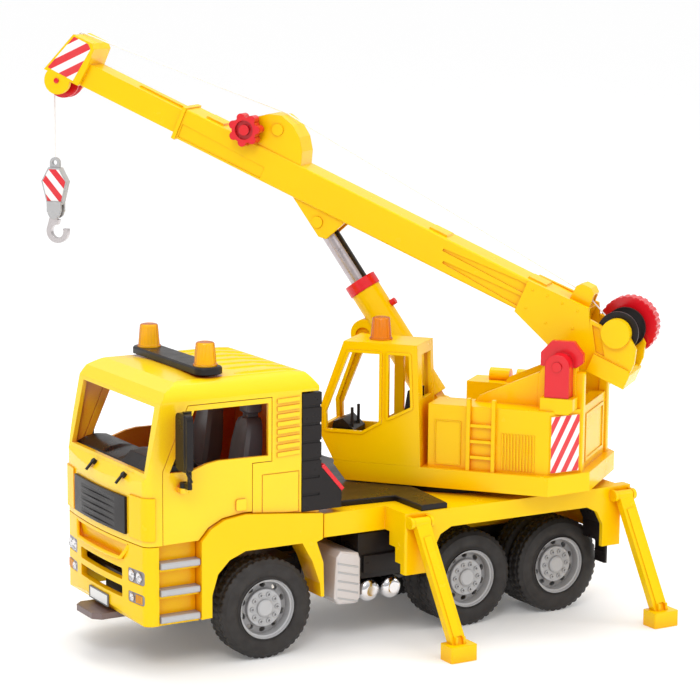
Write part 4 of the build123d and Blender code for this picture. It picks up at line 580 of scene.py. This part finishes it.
def nose_line(offset, low, high, steps):
    """Plan of the cab's bowed front with its rounded left corner, from the middle outwards."""
    points = []
    for step in range(steps + 1):
        y = low + (min(high, BOW_HALF) - low) * step / steps
        points.append((NOSE_X + NOSE_BOW * y * y - offset, y))
    for step in range(1, steps + 1):
        angle = math.radians(90.0 * step / steps)
        points.append((NOSE_X + 12.5 - (8 + offset) * math.cos(angle), 65 + (8 + offset) * math.sin(angle)))
    return points


def strip(name, outer, inner, low, high, material, body, side=1):
    """Upright strip between two plans, one just outside the other, from height low to high."""
    count = len(outer)
    vertices = []
    for z in (low, high):
        vertices += [truck(x, y * side, z) for x, y in outer]
        vertices += [truck(x, y * side, z) for x, y in inner]
    faces = []
    for i in range(count - 1):
        a, b, c, d = i, i + 1, 2 * count + i + 1, 2 * count + i
        faces += [(a, b, c, d), (count + b, count + a, count + d, count + c)]
        faces += [(b, a, count + a, count + b), (d, c, count + c, count + d)]
    faces += [(0, 2 * count, 3 * count, count), (count - 1, 2 * count - 1, 4 * count - 1, 3 * count - 1)]
    return face_outwards(add_mesh(name, vertices, faces, material, body))


DEFLECTOR_SPAN = (51, 73, 10)
for side, label in SIDES:
    outer, inner = nose_line(1.4, *DEFLECTOR_SPAN), nose_line(-0.2, *DEFLECTOR_SPAN)
    strip(f"corner_deflector_{label}", outer, inner, 106, 139, YELLOW, "cab", side)


def roof_height(x, y):
    """Height of the cab roof in the truck's axes."""
    along = ROOF_Z - max(x + 50, 0) / 65.0 if x < 15 else ROOF_Z - 1 - (x - 15) * 2.5 / 23
    return min(along, ROOF_Z - 2.0 * (y / 56.0) ** 2)


def roof_rib(name, y, half):
    """Raised rib along the rear of the cab roof, tapered at both ends."""
    vertices, faces = [], []
    stations = [(-18, 0.0), (-12, 0.9), (0, 0.9), (12, 0.9), (24, 0.9), (33, 0.8), (37, 0.0)]
    for x, rise in stations:
        low, high = roof_height(x, y) - 0.6, roof_height(x, y) + rise
        vertices += [truck(x, y - half, low), truck(x, y - half * 0.6, high), truck(x, y + half * 0.6, high),
                     truck(x, y + half, low)]
    for i in range(len(stations) - 1):
        a = 4 * i
        faces += [(a + k, a + k + 1, a + k + 5, a + k + 4) for k in range(3)]
        faces.append((a + 3, a, a + 4, a + 7))
    last = 4 * len(stations) - 4
    faces += [(3, 2, 1, 0), (last, last + 1, last + 2, last + 3)]
    return add_mesh(name, vertices, faces, YELLOW, "cab")


for index, y in enumerate((-52, -35, -17.5, 0, 17.5, 35, 52)):
    roof_rib(f"roof_rib_{index}", y, 3.4)

GRAB_HALF = ((-110.3, 0.0, 86.1), (-110.0, 18.0, 86.2), (-109.0, 36.0, 86.6), (-108.4, 39.0, 87.5),
             (-106.6, 44.0, 93.5), (-105.0, 46.5, 98.5))
grab = [truck(x, -y, z) for x, y, z in reversed(GRAB_HALF[1:])] + [truck(*point) for point in GRAB_HALF]
tube("grab_bar", grab, 1.7, YELLOW, "chassis", 12)


def framed_plate(name, centre, outward, across, half_width, half_height):
    """Blank number plate: a pale plate with a raised dark rim."""
    def ring(width, height, depth):
        return [centre + (across * a * width + UP * b * height + outward * depth) * MM for a, b in SQUARE]

    rim = [*ring(half_width, half_height, 0.0), *ring(half_width, half_height, 1.2),
           *ring(half_width - 0.8, half_height - 0.8, 1.2), *ring(half_width - 0.8, half_height - 0.8, 0.8)]
    faces = [(3, 2, 1, 0)]
    for row in (0, 4, 8):
        faces += [(row + i, row + (i + 1) % 4, row + 4 + (i + 1) % 4, row + 4 + i) for i in range(4)]
    faces.append((12, 13, 14, 15))
    piece = add_mesh(name + "_rim", rim, faces, DARK_GREY, "chassis", smooth=False)
    piece.data.materials.append(WHITE)
    piece.data.polygons[len(faces) - 1].material_index = 1
    return piece


FORWARD = Vector((-1, 0, 0))
LEFT = Vector((0, -1, 0))
REAR_X = 318.0
framed_plate("front_plate", truck(NOSE_X - 0.2, 0, 47.5), FORWARD, LEFT, 17.0, 4.8)
framed_plate("rear_plate", truck(REAR_X, 0, 77.0), -FORWARD, -LEFT, 17.0, 4.8)


def lamp_bowl(name, x, y, z, radius):
    """Round lamp: a rim, a bowl and a bulb in the middle, facing forwards."""
    profile = [(-0.4, radius), (0.5, radius), (0.6, radius * 0.88), (-0.1, radius * 0.72),
               (-0.35, radius * 0.4), (0.1, radius * 0.22), (0.3, 0.0)]
    lathe(name, truck(x, y, z), FORWARD, UP, profile, 28, CHROME, "chassis")


LAMPS = ((52.6, 76, 4.4), (62.4, 76, 4.2), (53.0, 59, 3.2))
for side, label in SIDES:
    for index, (y, z, radius) in enumerate(LAMPS):
        lamp_bowl(f"lamp_{label}_{index}", NOSE_X + NOSE_BOW * y * y - 0.3, y * side, z, radius)
    # ribbed indicator beside the lower lamp
    for rib in range(5):
        y = 58.6 + rib * 1.9
        x = NOSE_X + NOSE_BOW * min(y, BOW_HALF) ** 2 - 0.2
        corners = [truck(x - 0.3, side * (y + a * 0.6), 59 + b * 3.2) for a, b in SQUARE]
        if side > 0:
            corners.reverse()
        plate(f"indicator_rib_{label}_{rib}", corners, 0.8 * MM, AMBER, "chassis")

# tail lamps in the two pockets of the rear wall: three lenses each, with ribs
TAIL_LENSES = ((87.5, 6.3, RED_LENS, "red_plastic"), (74.4, 5.9, AMBER, "amber_lens"),
               (62.6, 5.0, CLEAR, "clear_lens"))
for side, label in SIDES:
    for index, (y, half, material, slot) in enumerate(TAIL_LENSES):
        vertices, faces = [], []
        steps = 12
        for z in (72.4, 81.6):
            for i in range(steps + 1):
                for depth in (316.2, 317.6 if i % 2 else 317.1):
                    vertices.append(truck(depth, side * (y - half + 2 * half * i / steps), z))
        row = 2 * (steps + 1)
        for i in range(steps):
            a = 2 * i
            faces += [(a + 1, a + 3, row + a + 3, row + a + 1), (a, a + 2, a + 3, a + 1),
                      (row + a + 2, row + a, row + a + 1, row + a + 3), (a + 2, a, row + a, row + a + 2)]
        faces += [(0, 1, row + 1, row), (2 * steps + 1, 2 * steps, row + 2 * steps, row + 2 * steps + 1)]
        name = f"tail_lamp_{label}_{index}"
        face_outwards(add_mesh(name, vertices, faces, material, "chassis", smooth=False))

# mirror glasses on the rear of both mirrors
MIRROR_Y, MIRROR_Z = 87.5, 183.0
for side, label in SIDES:
    outline_points = []
    for corner_y, corner_z, start in ((6, 18.5, 0), (-6, 18.5, 90), (-6, -18.5, 180), (6, -18.5, 270)):
        for step in range(5):
            angle = math.radians(start + 22.5 * step)
            outline_points.append((corner_y + 2.2 * math.cos(angle), corner_z + 2.2 * math.sin(angle)))
    corners = [truck(-75.35, side * MIRROR_Y + y, MIRROR_Z + z) for y, z in outline_points]
    plate(f"mirror_glass_{label}", corners, 0.0003, MIRROR, f"{label}_mirror")

# ---------------------------------------------------------------- cab interior and mirror arms
def bump(value, centre, half, soft):
    """1 inside centre +- half, falling smoothly to 0 over soft."""
    return max(0.0, min(1.0, (half + soft - abs(value - centre)) / soft))


DASH_SECTION = ((-96.5, 154.5), (-95.0, 157.0), (-88.0, 160.0), (-79.0, 161.5), (-70.0, 160.5),
                (-64.0, 156.5), (-62.0, 150.0), (-64.0, 144.0), (-67.0, 141.0), (-67.4, 146.0),
                (-75.5, 153.6), (-91.8, 156.0))
rows = []
for step in range(57):
    y = -69.0 + 138.0 * step / 56
    hood = bump(y, -33.0, 19.0, 5.0)
    dip = bump(y, 8.0, 11.0, 3.0)
    row = []
    for index, (x, z) in enumerate(DASH_SECTION):
        if 2 <= index <= 5:
            z += 4.5 * hood - 2.0 * dip * (index < 4)
            x += 3.0 * hood * (index > 3)
        row.append(truck(x, y, z))
    rows.append(row)
skin("dash_top", rows, BLACK, "cab")

# cushion: x, half width, underside, top; back: z, half width, front, rear
SEAT_PROFILE = ((-40, 12.5, 124, 137), (-30, 14.5, 126, 139.5), (-14, 14.5, 126, 138), (-6, 14.0, 126, 138))
BACK_PROFILE = ((136, 14.0, -7.5, 7.0), (150, 14.5, -5.0, 9.5), (166, 13.5, -2.5, 11.0),
                (180, 11.0, 0.5, 12.2), (184, 8.0, 1.5, 12.5), (185.5, 4.5, 3.5, 11.5),
                (188, 4.5, 3.8, 11.6), (189.5, 7.5, 2.2, 12.8), (198, 8.0, 2.4, 13.4), (202, 6.0, 4.0, 12.6))
SEAT_FOOT = ((-32, -11), (-6, -11), (-6, 11), (-32, 11))


def seat(name, centre_y):
    """Seat with a bolstered cushion, a waisted back and a separate-looking head rest."""
    rows = []
    for x, half, low, high in SEAT_PROFILE:
        section = ((-1, low), (1, low), (1, high - 1), (0.82, high + 1.4), (0.6, high), (-0.6, high),
                   (-0.82, high + 1.4), (-1, high - 1))
        rows.append([truck(x, centre_y + a * half, b) for a, b in section])
    skin(name + "_cushion", rows, SEAT_CLOTH, "cab")
    rows = []
    for z, half, front, back in BACK_PROFILE:
        section = ((-0.6, front), (-0.82, front - 1.6), (-1, front + 1.5), (-0.9, back), (0.9, back),
                   (1, front + 1.5), (0.82, front - 1.6), (0.6, front))
        rows.append([truck(x, centre_y + a * half, z) for a, x in section])
    skin(name + "_back", rows, SEAT_CLOTH, "cab")
    rows = [[truck(x, centre_y + y, z) for x, y in SEAT_FOOT] for z in (104.6, 108.0, 116.0, 126.0)]
    skin(name + "_pedestal", rows, BLACK, "cab")


SEAT_CLOTH = plastic("seat_cloth", (0.11, 0.10, 0.105), (0.03, 0.025, 0.025), 0.42, 2200.0, 0.5)
seat("seat_left", -33.0)
seat("seat_right", 33.0)
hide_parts("cab_seats")

MIRROR_ARM = ((-80.6, 204.4), (-80.6, 199.0), (-80.6, 190.0), (-80.6, 176.0), (-80.2, 164.0),
              (-77.5, 158.0), (-75.0, 153.0))
DOOR_LINING = ((-86.0, 124.0), (-86.0, 149.0), (-83.0, 153.5), (-66.0, 153.0), (-52.0, 157.0), (-42.0, 158.5),
               (-14.0, 158.0), (-14.0, 124.0))
for side, label in SIDES:
    corners = [truck(x, side * 70.35, z) for x, z in DOOR_LINING]
    if side > 0:
        corners.reverse()
    plate(f"door_lining_{label}", corners, 0.0009, BLACK, f"{label}_door")
    arm = [truck(x, side * (MIRROR_Y + 5.5), z) for x, z in MIRROR_ARM]
    tube(f"mirror_arm_{label}", arm, 1.2, BLACK, f"{label}_mirror")

# ---------------------------------------------------------------- lift rod, tank and boom details
LIFT_LENGTH = (Vector(JOINTS["cylinder_pivot"]["pos_m"]) - boom(243.8, 1.4)).length / MM


def lift(along, back, y=0.0):
    """Point in the lift cylinder's axes in millimetres."""
    return LIFT_FOOT + (LIFT_DIR * along + LIFT_BACK * back + RIGHT * y) * MM


# toothed black strip along the back of the rod
strip_rows = []
for index in range(int((LIFT_LENGTH - 70) / 1.2) + 1):
    radius = 7.62 if index % 2 else 7.52
    row = []
    for depth, sweep in ((0.0, range(-10, 43, 4)), (0.3, range(42, -11, -4))):
        for angle in sweep:
            back = (radius - depth) * math.cos(math.radians(angle))
            across = -(radius - depth) * math.sin(math.radians(angle))
            row.append(lift(57.0 + 1.2 * index, back, across))
    strip_rows.append(row)
skin("rod_strip", strip_rows, BLACK, "lift_piston")

for index in range(5):
    low, high = 68.0 - 7 * index, 72.0 - 7 * index
    corners = [truck(62.8, -75.25, low), truck(81.5, -75.25, high - 9.0), truck(81.5, -75.25, high - 7.6),
               truck(62.8, -75.25, low + 1.4)]
    plate(f"tank_rib_{index}", corners, 0.0006, GREY, "chassis")


def rivet(name, point, out, radius, material, body):
    """Domed rivet head standing on the given point."""
    side = out.cross(UP).normalized() if abs(out.z) < 0.9 else Vector((1, 0, 0))
    profile = [(-0.2, radius), (0.3, radius), (0.65, radius * 0.75), (0.85, radius * 0.4), (0.9, 0.0)]
    lathe(name, point, out, side, profile, 16, material, body)


BOOM_RIVETS = ((10, 35), (24, 35), (38, 35), (51, 34), (8, 20), (30, 14), (50, 18), (-4, 4))
for side, label in SIDES:
    for index, (along, up) in enumerate(BOOM_RIVETS):
        rivet(f"boom_rivet_{label}_{index}", boom(along, up, side * 19.0), RIGHT * side, 1.1, YELLOW, "boom")
    head_pin = boom(507.0, 11.0, side * 18.1)
    rivet(f"head_pin_cap_{label}", head_pin, RIGHT * side, 2.3, RED, "boom_extension")
    swivel = crane(block_x, side * 3.4, 317.0)
    rivet(f"block_pin_cap_{label}", swivel, RIGHT * side, 2.6, STEEL, "block")
    flap = []
    for z in (66.0, 60.0, 58.8, 57.6, 52.0, 50.8, 49.6, 43.0, 41.5):
        ridge = 0.7 if z in (58.8, 50.8, 41.5) else 0.0
        flap.append([truck(x, side * y, z) for x, y in ((311.6 - ridge, 77.5), (313.6, 77.5), (313.6, 92.0),
                                                        (311.6 - ridge, 92.0))])
    skin(f"mud_flap_{label}", flap, BLACK, "chassis")

# ---------------------------------------------------------------- stage, light and camera
def area_light(name, location, target, size, power):
    """Round soft light that shines from location towards target."""
    light = bpy.data.lights.new(name, "AREA")
    light.shape = "DISK"
    light.size = size
    light.energy = power
    lamp = bpy.data.objects.new(name, light)
    bpy.context.scene.collection.objects.link(lamp)
    lamp.location = location
    lamp.rotation_mode = "QUATERNION"
    lamp.rotation_quaternion = (Vector(target) - Vector(location)).to_track_quat("-Z", "Y")


FLOOR_HALF = 40.0         # metres


def make_stage():
    """Pale floor, a soft sky that the camera sees as white, and three disk lights."""
    mesh = bpy.data.meshes.new("floor")
    mesh.from_pydata([(a * FLOOR_HALF, b * FLOOR_HALF, 0) for a, b in SQUARE], [], [(0, 1, 2, 3)])
    floor = bpy.data.objects.new("floor", mesh)
    bpy.context.scene.collection.objects.link(floor)
    material, tree, shader = new_material("pale_floor")
    tone = ramp(tree, noise(tree, 3.0, 3.0), 0.3, 0.7, 0.0, 0.2)
    tree.links.new(mix(tree, tone, (0.93, 0.93, 0.93), (0.90, 0.90, 0.905)), shader.inputs["Base Color"])
    shader.inputs["Roughness"].default_value = 0.7
    shader.inputs["Emission Color"].default_value = (1.0, 1.0, 1.0, 1.0)
    shader.inputs["Emission Strength"].default_value = 0.10
    mesh.materials.append(material)
    world = bpy.data.worlds.new("studio")
    world.use_nodes = True
    tree = world.node_tree
    background = tree.nodes["Background"]
    coords = tree.nodes.new("ShaderNodeTexCoord")
    split = tree.nodes.new("ShaderNodeSeparateXYZ")
    tree.links.new(coords.outputs["Generated"], split.inputs[0])
    sky = ramp(tree, split.outputs["Z"], 0.0, 0.9, 0.5, 1.15)
    rays = tree.nodes.new("ShaderNodeLightPath")
    seen = ramp(tree, rays.outputs["Is Camera Ray"], 0.0, 1.0)
    grey = tree.nodes.new("ShaderNodeCombineColor")
    for channel in ("Red", "Green", "Blue"):
        tree.links.new(sky, grey.inputs[channel])
    tree.links.new(mix(tree, seen, grey.outputs[0], (1.0, 1.0, 1.0)), background.inputs[0])
    background.inputs[1].default_value = 1.0
    bpy.context.scene.world = world
    centre = truck(100, 0, 200)
    area_light("key", truck(-1500, -2200, 2500), centre, 1.2, 30)
    area_light("side", truck(2300, -1500, 1500), centre, 1.0, 9)
    area_light("top", truck(300, 500, 2800), centre, 1.6, 24)


def make_camera():
    """Camera at the viewing angle: low three-quarter view of the front left corner."""
    turn, height, roll = math.radians(-30.6), math.radians(10.1), math.radians(0.5)
    target = truck(119.7, 8.9, 212.3)
    distance = 1.9599             # metres
    focal, frame_width = 2391.5, 700.0
    back = Vector((math.sin(turn) * math.cos(height), -math.cos(turn) * math.cos(height), math.sin(height)))
    across = UP.cross(back).normalized()
    above = back.cross(across)
    tilted = across * math.cos(roll) + above * math.sin(roll)
    above = above * math.cos(roll) - across * math.sin(roll)
    data = bpy.data.cameras.new("camera")
    data.sensor_width = 36.0
    data.lens = focal / frame_width * data.sensor_width
    data.shift_x = 2.3 / frame_width
    data.shift_y = 12.0 / frame_width
    data.clip_start, data.clip_end = 0.05, 100.0
    camera = bpy.data.objects.new("camera", data)
    bpy.context.scene.collection.objects.link(camera)
    place = Matrix((tilted, above, back)).transposed().to_4x4()
    place.translation = target + back * distance
    camera.matrix_world = place
    bpy.context.scene.camera = camera
    bpy.context.scene.view_settings.view_transform = "Standard"


make_stage()
make_camera()
